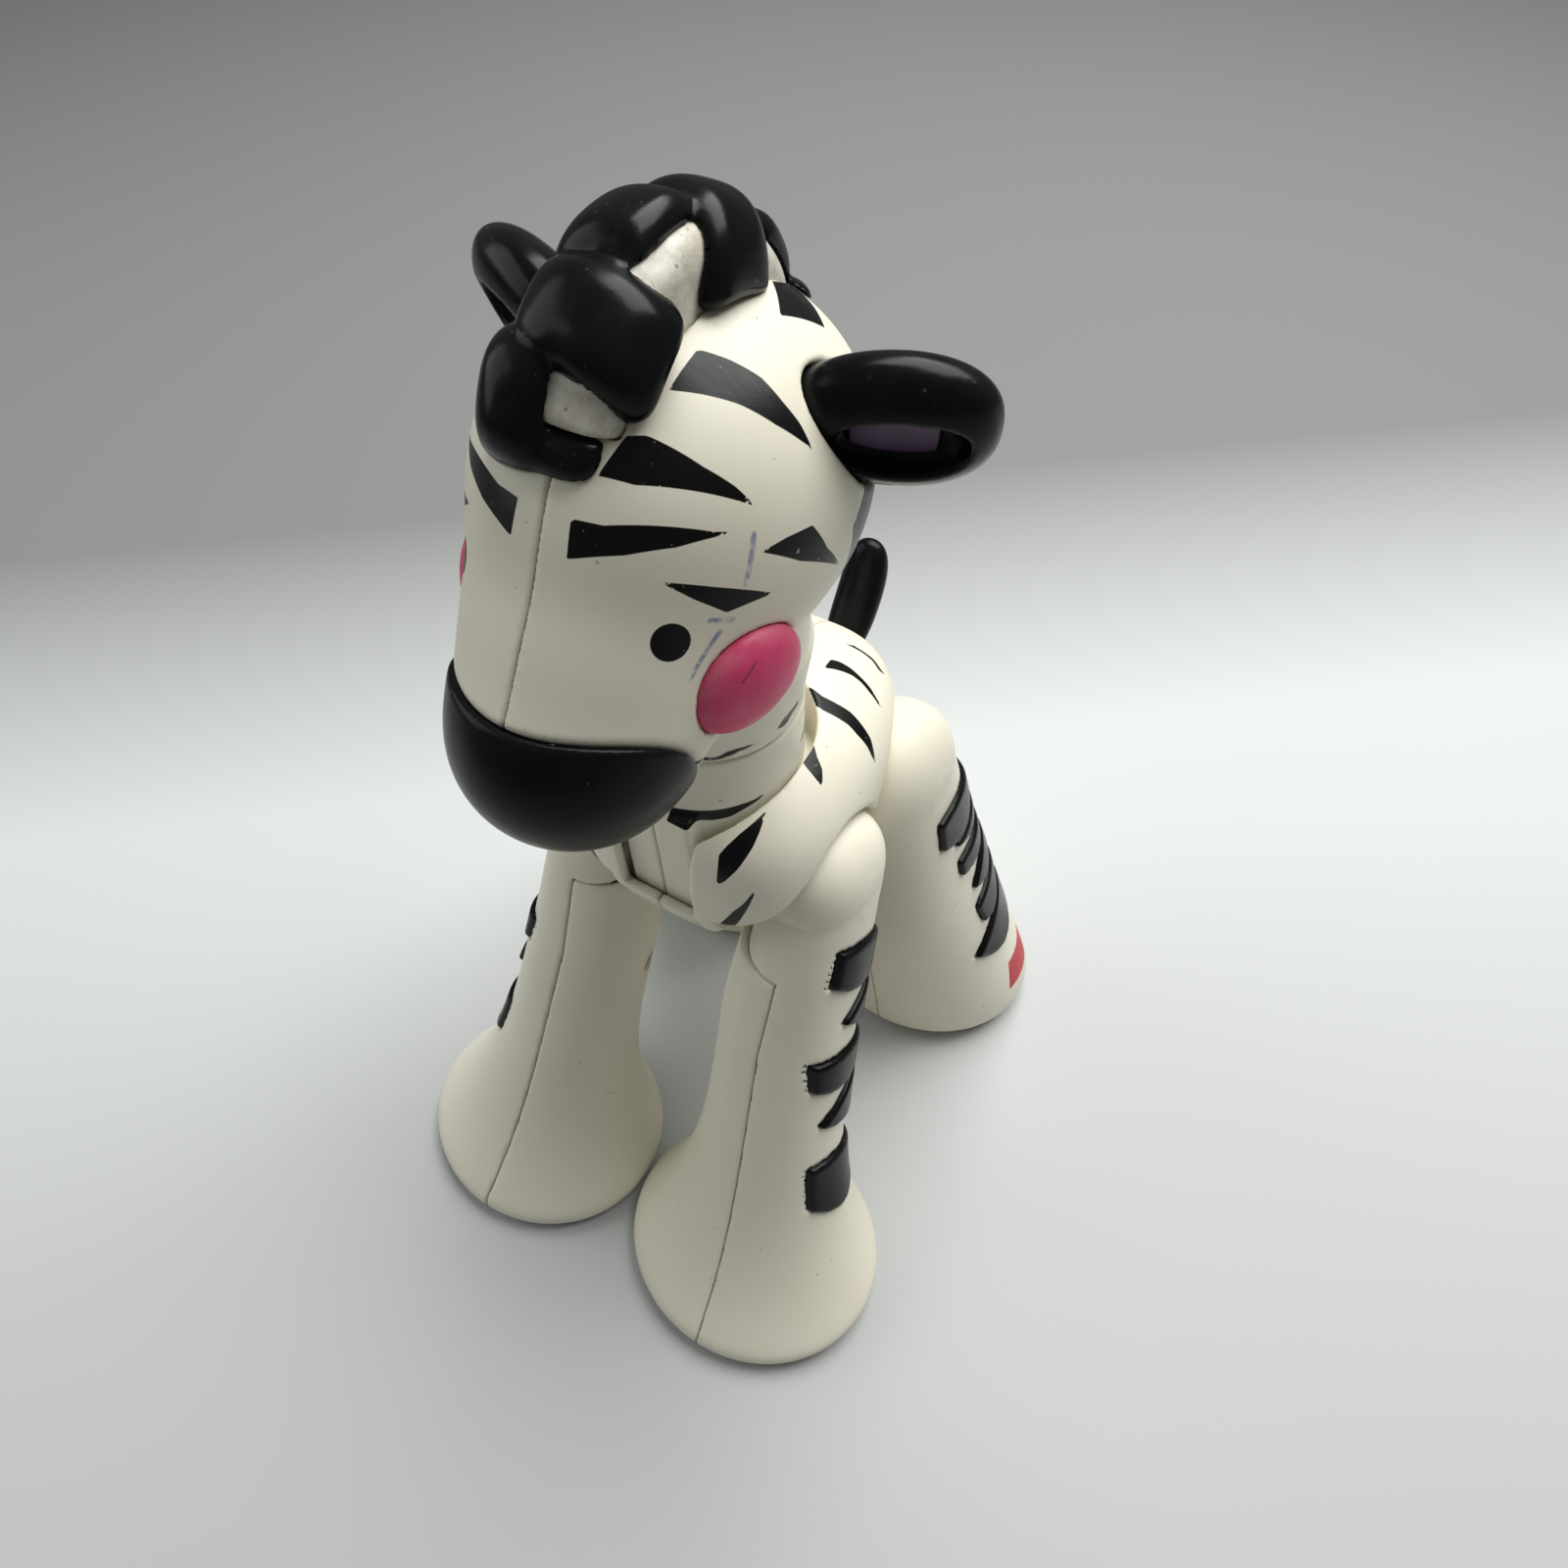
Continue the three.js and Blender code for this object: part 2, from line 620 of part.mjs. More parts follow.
const earLength = new THREE.Vector3(...EAR.tip).distanceTo(new THREE.Vector3(...EAR.root));
const earForm = (grow) => placedInEar(lump([earLength / 2 + grow, 7.7 + grow, 4.8 + grow], 0.86, 12, 8), [0, EAR_DROP, 0]);
const earCup = (grow) => placedInEar(lump([6.6 + grow, 4.1 + grow, 3.4 + grow], 0.9, 10, 5), [2.2, EAR_DROP, 3.6]);
const earInner = earCup(-GAP).intersect(placedInEar(box(-20, 20, -20, 20, -10, 1.9), [0, 0, 0]));

const CHEEK_AT = [17.6, -15.8, 139.6];
function surfaceNormal(x, y, z) {
  const e = 0.05;
  return new THREE.Vector3(
    headField(x + e, y, z) - headField(x - e, y, z),
    headField(x, y + e, z) - headField(x, y - e, z),
    headField(x, y, z + e) - headField(x, y, z - e),
  ).normalize();
}

function cheekForm(grow) {
  const out = surfaceNormal(...CHEEK_AT);
  const along = new THREE.Vector3(0, 0.75, 0.66);
  along.addScaledVector(out, -along.dot(out)).normalize();
  const side = new THREE.Vector3().crossVectors(out, along);
  const frame = new THREE.Matrix4().makeBasis(along, side, out);
  const depth = headField(...CHEEK_AT);
  const at = new THREE.Vector3(...CHEEK_AT).addScaledVector(out, -depth - 0.6);
  return moved(lump([7.7 + grow, 7.4 + grow, 3.1 + grow], 1, 12, 5), frame.setPosition(at));
}

// Mane core: a white fin along the crown between the two halves
function ridgePoint(x, reach, angle) {
  return [x, RIDGE_Y + reach * Math.cos(rad(angle)), RIDGE_Z + reach * Math.sin(rad(angle))];
}

// Height of the ridge above its arc centre, a little taller at the forelock
const ridgeReach = (angle) => 16.9 + 2.4 * smooth((angle - 112) / 30) + 0.8 * smooth((40 - angle) / 40);

function maneCore(grow) {
  const end = grow * 3;
  return loft(
    steps(9, 152 + end, 0 - end),
    (angle, turn) => {
      const low = 9.5 - grow;
      const high = ridgeReach(angle) + 0.5 + grow;
      const x = (4.9 + grow) * power(Math.cos(turn), 0.35);
      const t = power(Math.sin(turn), Math.sin(turn) > 0 ? 1.1 : 0.35);
      return ridgePoint(x, (high + low) / 2 + ((high - low) / 2) * t, angle);
    },
    12,
  );
}

// Mane lock: a thick lobe that crosses the ridge and falls to one side
function maneLock({ angle: middle, side, lean, from = -4, to = 9, wide = 6.4, thick = 3.1, drop = 0.055 }) {
  return skin(
    (u, v) => {
      const turn = 2 * Math.PI * u;
      const share = rounding(2 * v - 1, 3.6);
      const x = from + (to - from) * v;
      const at = middle + (lean * Math.max(0, x)) / 10;
      const reach = ridgeReach(at) + 0.4 - drop * (x < 0 ? 1.4 : 1) * x * x;
      const grown = share * THREE.MathUtils.lerp(0.72, 1, smooth(v * 1.4));
      const half = wide * grown;
      const tilt = x * 0.1;
      const px = x + thick * grown * Math.sin(turn) * Math.sin(tilt);
      const pr = reach + thick * grown * Math.sin(turn) * Math.cos(tilt);
      return ridgePoint(side * px, pr, at + (half * Math.cos(turn) * 57.3) / 19);
    },
    9,
    6,
  );
}

const LOCKS = [
  { angle: 141, side: -1, lean: 8, to: 9.5, thick: 3.9, drop: 0.042 },
  { angle: 160, side: 1, lean: 0, from: -8, to: 3, wide: 3.6, drop: 0.03 },
  { angle: 118, side: 1, lean: 14, to: 8.4 },
  { angle: 93, side: -1, lean: 14, to: 10 },
  { angle: 64, side: 1, lean: 18, to: 10 },
  { angle: 38, side: -1, lean: 12, to: 9 },
  { angle: 14, side: 1, lean: 10, to: 9 },
];
const maneShape = joined(...LOCKS.map((lock) => maneLock(lock)))
  .subtract(maneCore(GAP))
  .subtract(headForm(GAP, 24, 15));

const headRim = barZ(NECK_TOP_R, HEAD_RIM_Z, HEAD_RIM_Z + 9, 0, NECK_TOP_Y, 24);
const headOuter = headForm(0, 24, 15).add(headRim);
const headHollow = headForm(-WALL, 12, 8).subtract(headFloor).add(barZ(10.8, HEAD_RIM_Z + 2, 132, 0, NECK_TOP_Y));
const headShell = headOuter
  .subtract(neckClearance)
  .subtract(headHollow)
  .subtract(barZ(STUB_R + 0.15, 100, 125, 0, NECK_TOP_Y, 16))
  .subtract(muzzleBlock(-GAP))
  .subtract(maneCore(GAP))
  .subtract(bothSides(earForm(GAP)))
  .subtract(bothSides(cheekForm(GAP)));
add(toy, 'head_left_shell', headShell.intersect(box(PARTING / 2, 80, -90, 90, 0, 200)), creamPlastic());
add(toy, 'head_right_shell', headShell.intersect(box(-80, -PARTING / 2, -90, 90, 0, 200)), creamPlastic());
add(toy, 'muzzle', headForm(0.3, 24, 15).subtract(headForm(-WALL - GAP, 12, 8)).intersect(muzzleBlock(0)).subtract(bothSides(cheekForm(GAP))), blackPlastic());
add(toy, 'mane_core', maneCore(0), creamPlastic());
add(toy, 'mane', maneShape, blackRubber());
add(toy, 'ear_left', earForm(0).subtract(earCup(0)), blackRubber());
add(toy, 'ear_right', mirrored(earForm(0).subtract(earCup(0))), blackRubber());
add(toy, 'ear_inner_left', earInner, finish('#5d4a75', 0.5));
add(toy, 'ear_inner_right', mirrored(earInner), finish('#5d4a75', 0.5));
add(toy, 'cheek_left', cheekForm(0), finish('#e2599c', 0.4));
add(toy, 'cheek_right', mirrored(cheekForm(0)), finish('#e2599c', 0.4));

// Head retainer: a cap whose plug fills the neck stub and whose rim holds the head down
const retainer = barZ(10.2, STUB_TOP_Z + GAP, STUB_TOP_Z + 2.2, 0, NECK_TOP_Y, 18)
  .add(barZ(STUB_R - WALL - GAP - 0.2, STUB_TOP_Z - 4, STUB_TOP_Z + 1, 0, NECK_TOP_Y, 12));
add(toy, 'head_retainer', retainer, clickPlastic());

// Legs
function footSole() {
  const level = (z, share) => ({ z, share });
  const rows = [level(0, 0.94), level(1.1, 1), level(3.2, 1)];
  return loft(
    rows,
    ({ z, share }, angle) => [SOLE_X * share * Math.cos(angle), SOLE_Y * share * Math.sin(angle), z],
    18,
  );
}

// The tilted sheet between a leg's outer and inner shells: everything outward of it
function outwardOfSheet(hip, shift) {
  const corner = (z, x) => new THREE.Vector2(x ?? legMiddleX(hip, z) + shift, z - hip.z);
  const shape = new THREE.Shape([corner(-20), corner(-20, 90), corner(120, 90), corner(120), ...[58, 5].map((z) => corner(z))]);
  const geometry = new THREE.ExtrudeGeometry(shape, { depth: 160, bevelEnabled: false });
  geometry.applyMatrix4(new THREE.Matrix4().set(1, 0, 0, 0, 0, 0, -1, 80, 0, 1, 0, 0, 0, 0, 0, 1));
  return solid(geometry);
}

// A stripe pad: a curved wedge seen from the side, swept outward through the shell
function padBlock(hip, { from, to, half, blunt }, grow) {
  const [dy, dz] = [to[0] - from[0], to[1] - from[1]];
  const long = Math.hypot(dy, dz);
  const edge = (t, way) => {
    const u = blunt === 'from' ? t : 1 - t;
    const thick = half * (1 - u + 3.0 * u * (1 - u)) + grow + 0.25;
    const s = t + (grow / long) * (2 * t - 1);
    const sag = -1.1 * 4 * t * (1 - t);
    return [from[0] + dy * s - way * thick * (dz / long), from[1] + dz * s + sag + way * thick * (dy / long)];
  };
  const outline = [...steps(2).map((t) => edge(t, -1)), ...steps(2, 1, 0).map((t) => edge(t, 1))];
  return plateX(outline.map(([y, z]) => [y - hip.y, z - hip.z]), 10, 60);
}

function legParts(hip) {
  const outerForm = legForm(hip, 0, 16);
  const hollow = legForm(hip, WALL, 10, RIM_Z - 0.6);
  const boss = barX(AXLE_R + 1.6, 17, 31, 0, 0, 12).intersect(outerForm);
  const at = [legSection(hip, SCREW_Z, 0).y + 3.5, SCREW_Z - hip.z];
  const split = legMiddleX(hip, SCREW_Z);
  const post = barX(3.1, 0, split - PARTING / 2, ...at, 10).intersect(outerForm);
  const pads = (grow) => joined(...hip.pads.map((pad) => padBlock(hip, pad, grow)));
  const outward = outwardOfSheet(hip, 3.2);
  const wall = outerForm
    .subtract(hollow)
    .add(boss)
    .subtract(barX(AXLE_R + RUNNING, 0, AXLE_END_X + 0.4))
    .subtract(barX(BOSS_R + 1.0, 0, 12.6))
    .subtract(barX(WHEEL_R + 0.7, 12.6, 16.8))
    .subtract(pads(0.25).intersect(outward).subtract(legForm(hip, WALL + 2, 8)));
  const below = box(-10, 90, -90, 90, -120, SHELL_SPLIT_Z - hip.z - GAP / 2);
  const above = box(-10, 90, -90, 90, SHELL_SPLIT_Z - hip.z + GAP / 2, 40);
  const screw = barX(2.0, split - 7.1, split - 5.6, ...at, 10).add(barX(1.1, split - 5.8, split + 6, ...at, 8));
  const backing = legForm(hip, WALL + GAP, 10)
    .intersect(outward)
    .intersect(box(0, 90, -90, 90, 17 - hip.z, 79.6 - hip.z))
    .subtract(barX(AXLE_R + 3, 0, 60, 0, 0, 16));
  const insert = joined(
    legForm(hip, -PAD_RISE, 16).intersect(pads(0)).intersect(outward),
    backing,
  )
    .subtract(legForm(hip, WALL + GAP + 1.2, 10))
    .add(barX(3.1, split + PARTING, 40, ...at, 10).intersect(legForm(hip, WALL + GAP, 10)))
    .subtract(barX(1.4, 0, split + 6.6, ...at, 8));
  const slot = box(0, split - 6.4, at[0] - 1.5, at[0] + 1.5, at[1] - 0.3, at[1] + 0.3);
  return {
    outer_shell: wall.intersect(outwardOfSheet(hip, PARTING / 2).add(above)),
    inner_shell: wall
      .intersect(below)
      .add(post)
      .subtract(outwardOfSheet(hip, -PARTING / 2))
      .subtract(barX(2.3, 0, split - 5.5, ...at, 10))
      .subtract(barX(1.4, 0, split + 6.6, ...at, 8)),
    click_wheel: clickWheel(WHEEL_R, 13, 15, 0, 0),
    click_leaf: clickLeaf(WHEEL_R, 14, 13.3, 14.7, 0, 0).intersect(legForm(hip, WALL + GAP, 10)),
    screw: screw.subtract(slot),
    stripe_insert: insert,
  };
}

const SOLE_COLOURS = { front_left: '#e3b92e', front_right: '#2f56b0', hind_left: '#cf2f4c', hind_right: '#3fa45a' };
for (const hip of hips) {
  const parts = legParts(hip);
  for (const side of ['left', 'right']) {
    const leg = new THREE.Group();
    leg.position.set(0, hip.y, hip.z);
    toy.add(leg);
    const sided = (shape) => (side === 'left' ? shape : mirrored(shape));
    const label = `${hip.tag}_${side}`;
    add(leg, `${label}_outer_shell`, sided(parts.outer_shell), creamPlastic());
    add(leg, `${label}_inner_shell`, sided(parts.inner_shell), creamPlastic());
    add(leg, `${label}_click_wheel`, sided(parts.click_wheel), clickPlastic());
    add(leg, `${label}_click_leaf`, sided(parts.click_leaf), steel());
    add(leg, `${label}_screw`, sided(parts.screw), steel());
    add(leg, `${label}_stripe_insert`, sided(parts.stripe_insert), blackPlastic());
    const sole = add(leg, `${label}_sole`, footSole(), finish(SOLE_COLOURS[label], 0.55));
    sole.position.set((side === 'left' ? 1 : -1) * FOOT_X, hip.lean * 0.985, -hip.z);
  }
}

export default toy;
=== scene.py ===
"""A jointed toy zebra with click legs: moulded half shells, black mane, ears, muzzle and leg stripes.

Sizes are written in millimetres in the frame of the CAD and scaled to metres when a mesh is made.
"""
import functools
import math

import bpy
import numpy as np
from mathutils import Matrix, Vector


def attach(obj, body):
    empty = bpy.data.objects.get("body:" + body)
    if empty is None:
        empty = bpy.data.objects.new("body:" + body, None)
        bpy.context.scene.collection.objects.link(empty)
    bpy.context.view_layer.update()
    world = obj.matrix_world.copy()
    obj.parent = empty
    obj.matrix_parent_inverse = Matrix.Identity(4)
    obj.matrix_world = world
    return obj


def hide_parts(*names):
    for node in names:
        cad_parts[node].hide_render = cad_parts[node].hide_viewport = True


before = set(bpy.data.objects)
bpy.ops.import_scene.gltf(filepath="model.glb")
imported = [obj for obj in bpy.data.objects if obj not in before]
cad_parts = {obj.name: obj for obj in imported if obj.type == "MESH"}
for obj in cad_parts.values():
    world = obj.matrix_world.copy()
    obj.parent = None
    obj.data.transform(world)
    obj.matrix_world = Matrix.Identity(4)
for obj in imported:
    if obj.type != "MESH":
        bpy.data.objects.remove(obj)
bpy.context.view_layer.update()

MM = 0.001

# Camera: where it stands, in millimetres, and how it is turned
CAMERA_AZIMUTH = 30.87
CAMERA_ELEVATION = 53.6
CAMERA_ROLL = -1.1
CAMERA_AIM = (-26.06, 62.9, 0.0)
CAMERA_DISTANCE = 277.1
FOCAL_PIXELS = 1108.0
IMAGE_PIXELS = 1600
SENSOR = 36.0

# Sizes shared by several pieces
WALL = 1.7
PARTING = 0.10
PARTING_EDGE = 0.35
SEAT = 0.2
FIT = 0.15
PRESS_GAP = 0.3
FRONT_HIP = (-0.8, 83.1)
HIND_HIP = (22.6, 81.2)
HIP_X = 16.7
HIP_SHIFT = 1.9
FOOT_Y = 37.8
FOOT_HALF_X = 24.0
FEET_GAP = 0.8
FOOT_X = FOOT_HALF_X + FEET_GAP / 2
FOOT_HALF_Y = 20.6
FOOT_WIDEST_Z = 4.5
RIM_Z = 1.4
SPLIT_Z = 72.0
SCREW_Z = 48.0
PAD_RISE = 0.9
AXLE_R = 2.5
AXLE_END_X = 23.8
BODY_FRONT_Y = -17.8
BODY_REAR_Y = 37.8
BODY_MID = (4.0, 88.4)
BODY_HALF = (22.0, 16.4)
POCKET_GAP = 1.0
LEG_OUTWARD = 20.0
LEG_INWARD = 10.0
NOD_FORWARD = 4.0
NOD_BACK = 8.0
COLLAR_GAP = 0.35
FAN_R = 14.9
FAN_X = 5.8
SADDLE_R = 18.4
NECK_R = 12.9
NECK_FRONT_R = 15.6
NECK_Y = 0.2
NECK_LOW_Z = 96.5
NECK_TOP_Z = 113.0
HEAD_RIM_Z = NECK_TOP_Z + 0.5
HEAD_CENTRE = (0.0, -12.0, 140.0)
RIDGE = (-1.9, 157.0)
CHEEK = (17.6, -15.6, 138.8)
CHEEK_HALF = (7.0, 6.9, 3.1)
CHEEK_LEAN = (-0.03, -0.17, 0.06)
EYE_AT = (51.4, 28.0)
EYE_R = 2.0

# Beyond every skin along X, the value of a mark that is nowhere near, and degrees in a radian
OUTSIDE_X = 60
NO_MARK = 9.0
DEGREES = 57.3


# Numbers and forms: every field below is a distance in millimetres, negative inside

def smooth(t):
    t = np.clip(t, 0, 1)
    return t * t * (3 - 2 * t)


def lerp(a, b, t):
    return a + (b - a) * t


def both(a, b, radius=0.4):
    """Where both fields are inside, with a rounded edge."""
    share = np.maximum(radius - np.abs(a - b), 0) / radius
    return np.maximum(a, b) + share * share * radius / 4


def either(a, b, radius=0.4):
    return -both(-a, -b, radius)


def without(a, b, radius=0.4):
    return both(a, -b, radius)


def left_half(shell, x):
    return both(shell, PARTING / 2 - x, PARTING_EDGE)


def nearest_of(fields, far=1e9):
    return functools.reduce(np.minimum, fields, far)


def unit(vector):
    return np.array(vector, float) / np.linalg.norm(vector)


def growth(dx, dy, half_x, half_y, n):
    """How many times an oval has to grow to reach a place, and how fast that changes there."""
    a, b = np.abs(dx) / half_x, np.abs(dy) / half_y
    k = (a**n + b**n) ** (1 / n) + 1e-6
    return k, k ** (1 - n) * np.hypot(a ** (n - 1) / half_x, b ** (n - 1) / half_y)


def oval(dx, dy, half_x, half_y, n=2.0):
    k, slope = growth(dx, dy, half_x, half_y, n)
    return (k - 1) / np.maximum(slope, 0.02)


def capped_oval(dx, dy, t, half_x, half_y, reach, n, m):
    """An oval section that closes as t goes from 0 to 1, over the given reach."""
    s, across = growth(dx, dy, half_x, half_y, n)
    t = np.abs(t)
    k = (s**m + t**m) ** (1 / m)
    slope = np.hypot((s / k) ** (m - 1) * across, (t / k) ** (m - 1) / reach)
    return (k - 1) / np.maximum(slope, 0.02)


def polygon(points, p, q):
    """Signed distance, in a plane, to a closed outline."""
    p, q = np.broadcast_arrays(np.asarray(p, float), np.asarray(q, float))
    nearest = np.full(p.shape, 1e9)
    inside = np.zeros(p.shape, bool)
    for (p0, q0), (p1, q1) in zip(points, points[1:] + points[:1]):
        dp, dq = p1 - p0, q1 - q0
        t = np.clip(((p - p0) * dp + (q - q0) * dq) / (dp * dp + dq * dq + 1e-12), 0, 1)
        nearest = np.minimum(nearest, np.hypot(p - p0 - t * dp, q - q0 - t * dq))
        crosses = ((q0 > q) != (q1 > q)) & (p < p0 + dp * (q - q0) / (dq if dq else 1e-12))
        inside ^= crosses
    return np.where(inside, -nearest, nearest)


def stroke(line, points):
    """Distance to a line drawn through places in space."""
    def part(a, b):
        step = np.subtract(b, a)
        t = np.clip((points - a) @ step / (step @ step), 0, 1)
        return np.linalg.norm(points - a - t[:, None] * step, axis=1)

    return nearest_of(part(a, b) for a, b in zip(line, line[1:]))


# Meshing: a net of quads laid over the zero surface of a field, then drawn onto it

def net(field, low, high, cell):
    axes = [np.arange(a, b + cell, cell) for a, b in zip(low, high)]
    grid = np.meshgrid(*axes, indexing="ij", sparse=True)
    shape = tuple(len(a) for a in axes)
    values = np.broadcast_to(field(*grid), shape).astype(np.float32)
    inside = values < 0
    count = np.zeros(tuple(n - 1 for n in shape), np.int8)
    for corner in np.ndindex(2, 2, 2):
        count += inside[tuple(slice(c, n - 1 + c) for c, n in zip(corner, shape))]
    cells = np.argwhere((count > 0) & (count < 8))
    number = np.full(count.shape, -1, np.int64)
    number[tuple(cells.T)] = np.arange(len(cells))
    total = np.zeros((len(cells), 3))
    hits = np.zeros(len(cells))
    for axis in range(3):
        other = [a for a in range(3) if a != axis]
        for offset in np.ndindex(2, 2):
            start = cells.copy()
            start[:, other] += offset
            end = start.copy()
            end[:, axis] += 1
            f0, f1 = values[tuple(start.T)], values[tuple(end.T)]
            cross = (f0 < 0) != (f1 < 0)
            at = start[cross].astype(float)
            at[:, axis] += f0[cross] / (f0[cross] - f1[cross])
            total[cross] += at
            hits[cross] += 1
    points = np.array(low) + total / hits[:, None] * cell
    quads = []
    for axis in range(3):
        other = [a for a in range(3) if a != axis]
        near = [slice(1, -1)] * 3
        far = [slice(1, -1)] * 3
        near[axis], far[axis] = slice(0, -1), slice(1, None)
        change = inside[tuple(near)] != inside[tuple(far)]
        at = np.argwhere(change)
        at[:, other] += 1
        ring = []
        for offset in ((1, 1), (0, 1), (0, 0), (1, 0)):
            cell_at = at.copy()
            cell_at[:, other] -= offset
            ring.append(number[tuple(cell_at.T)])
        face = np.stack(ring, 1)
        turned = inside[tuple(at.T)] == (axis != 1)
        face[~turned] = face[~turned][:, ::-1]
        quads.append(face)
    return points, np.concatenate(quads)


def slope_of(field, x, y, z, e=0.04):
    """How fast a field changes along X, Y and Z."""
    changes = [
        field(x + e, y, z) - field(x - e, y, z),
        field(x, y + e, z) - field(x, y - e, z),
        field(x, y, z + e) - field(x, y, z - e),
    ]
    return np.stack(changes, -1) / (2 * e)


def drawn_onto(points, field, cell, rounds=2):
    """Moves the points of a net along the field's slope until they lie on its surface."""
    for _ in range(rounds):
        x, y, z = points.T
        slope = slope_of(field, x, y, z)
        step = field(x, y, z) / np.maximum((slope**2).sum(1), 0.05)
        move = slope * step[:, None]
        length = np.linalg.norm(move, axis=1, keepdims=True)
        points = points - move * np.minimum(1, 0.4 * cell / np.maximum(length, 1e-9))
    return points


def form(field, low, high, cell=0.55):
    points, quads = net(field, low, high, cell)
    return drawn_onto(points, field, cell), quads


def mirrored(shape):
    points, faces = shape
    return points * (-1, 1, 1), faces[:, ::-1]


def both_sides(shape):
    return ("left", shape), ("right", mirrored(shape))


# Finishes

class Amount:
    """A socket in a finish, with the arithmetic of numbers."""

    def __init__(self, finish, socket):
        self.finish = finish
        self.socket = socket

    def _math(self, operation, *values):
        return self.finish.node("Math", {"operation": operation}, dict(enumerate(values)))

    def __add__(self, other):
        return self._math("ADD", self, other)

    __radd__ = __add__

    def __sub__(self, other):
        return self._math("SUBTRACT", self, other)

    def __rsub__(self, other):
        return self._math("SUBTRACT", other, self)

    def __mul__(self, other):
        return self._math("MULTIPLY", self, other)

    __rmul__ = __mul__

    def over(self, low, high):
        """0 below low, 1 above high; the other way round where low is above high."""
        return self.finish.node(
            "MapRange", {"clamp": True}, {"Value": self, "From Min": low, "From Max": high}
        )


class Finish:
    """A procedural material: one Principled shader and the nodes that feed it."""

    def __init__(self, name, **values):
        self.material = bpy.data.materials.new(name)
        self.material.use_nodes = True
        self.tree = self.material.node_tree
        self.shader = self.tree.nodes["Principled BSDF"]
        self.feed(**values)

    def node(self, kind, settings, inputs, output=0):
        made = self.tree.nodes.new("ShaderNode" + kind)
        for key, value in settings.items():
            setattr(made, key, value)
        for key, value in inputs.items():
            self._join(made.inputs[key], value)
        return Amount(self, made.outputs[output])

    def _join(self, socket, value):
        if isinstance(value, Amount):
            self.tree.links.new(value.socket, socket)
        elif socket.type == "RGBA":
            socket.default_value = (*value, 1)
        else:
            socket.default_value = value

    def feed(self, **values):
        for key, value in values.items():
            self._join(self.shader.inputs[key.replace("_", " ")], value)

    def place(self):
        return self.node("TexCoord", {}, {}, "Object")

    def noise(self, size_mm, detail=3.0, roughness=0.55, stretch=(1, 1, 1)):
        """Noise from 0 to 1 whose features are about size_mm across."""
        at = self.node("VectorMath", {"operation": "MULTIPLY"}, {0: self.place(), 1: stretch})
        inputs = {"Vector": at, "Scale": 1 / (size_mm * MM), "Detail": detail, "Roughness": roughness}
        return self.node("TexNoise", {}, inputs)

    def measure(self, name):
        return self.node("Attribute", {"attribute_name": name}, {}, "Fac")

    def mix(self, share, first, second):
        return self.node("Mix", {"data_type": "RGBA"}, {0: share, 6: first, 7: second}, 2)

    def ready(self, colour, rough, height, strength, distance_mm):
        """Feeds the shader a colour, a roughness and a bump from a height, and gives the material."""
        inputs = {"Height": height, "Strength": strength, "Distance": distance_mm * MM}
        self.feed(Base_Color=colour, Roughness=rough, Normal=self.node("Bump", {}, inputs, "Normal"))
        return self.material


CREAM = (0.80, 0.762, 0.640)
YELLOWED = (0.76, 0.70, 0.53)
INK = (0.003, 0.003, 0.0035)
# Brown of the dirt in the seams, also used for the painted shade below the chest slot
SEAM_DIRT_AND_SHADE = (0.24, 0.13, 0.06)
SPECK_BROWN = (0.20, 0.16, 0.12)
PEN_BLUE = (0.05, 0.09, 0.30)
LABEL_RED = (0.52, 0.03, 0.045)
DUST_GREY = (0.23, 0.22, 0.20)
CHEEK_PINK = (0.62, 0.040, 0.135)
CHEEK_LIGHT = (0.68, 0.070, 0.18)
CHEEK_WORN = (0.72, 0.28, 0.34)
CHEEK_CUT = (0.10, 0.02, 0.06)
CORE_PALE = (0.70, 0.68, 0.60)
CORE_GRIME = (0.36, 0.31, 0.22)
CORE_SPECK = (0.10, 0.08, 0.05)


def shell_finish():
    """Cream moulded plastic with printed ink, dirt in the seams, pen marks, small scuffs and painted shade
    below the chest slot.
    """
    f = Finish("cream_shell_plastic", IOR=1.45, Specular_IOR_Level=0.25)
    cloud = f.noise(26, 3)
    patch = f.noise(5, 4)
    grain = f.noise(0.35, 2)
    colour = f.mix(cloud.over(0.42, 0.75) * 0.45, CREAM, YELLOWED)
    speck = f.noise(1.1, 1, 0.4).over(0.79, 0.83)
    colour = f.mix(speck * 0.55, colour, SPECK_BROWN)
    seam = f.measure("seam").over(0.32, 0.02) * (0.5 + 0.5 * patch.over(0.3, 0.6))
    colour = f.mix(seam * 0.38, colour, SEAM_DIRT_AND_SHADE)
    # Painted shade below the chest slot on the body; on one leg the same mark gives small dark knocks
    dirt_and_shade = f.measure("dirt_and_shade").over(1.4, 0.0) * patch.over(0.3, 0.62)
    colour = f.mix(dirt_and_shade * 0.8, colour, SEAM_DIRT_AND_SHADE)
    pen = f.measure("pen").over(0.42, 0.12) * f.noise(1.4, 3).over(0.36, 0.55)
    colour = f.mix(pen * 0.75, colour, PEN_BLUE)
    label = f.measure("label").over(0.05, -0.05)
    colour = f.mix(label, colour, LABEL_RED)
    ink = f.measure("ink").over(0.04, -0.04)
    worn = f.noise(0.9, 3, 0.6).over(0.30, 0.27) * 0.5
    ink = ink * (1 - worn)
    colour = f.mix(ink, colour, INK)
    scratch = f.noise(3, 4, 0.6, stretch=(1, 5, 1))
    rough = 0.37 + 0.10 * scratch.over(0.35, 0.7) - 0.08 * ink + 0.2 * speck
    height = grain * 0.5 + f.noise(9, 2) * 0.8
    return f.ready(colour, rough, height, 0.16, 0.12)


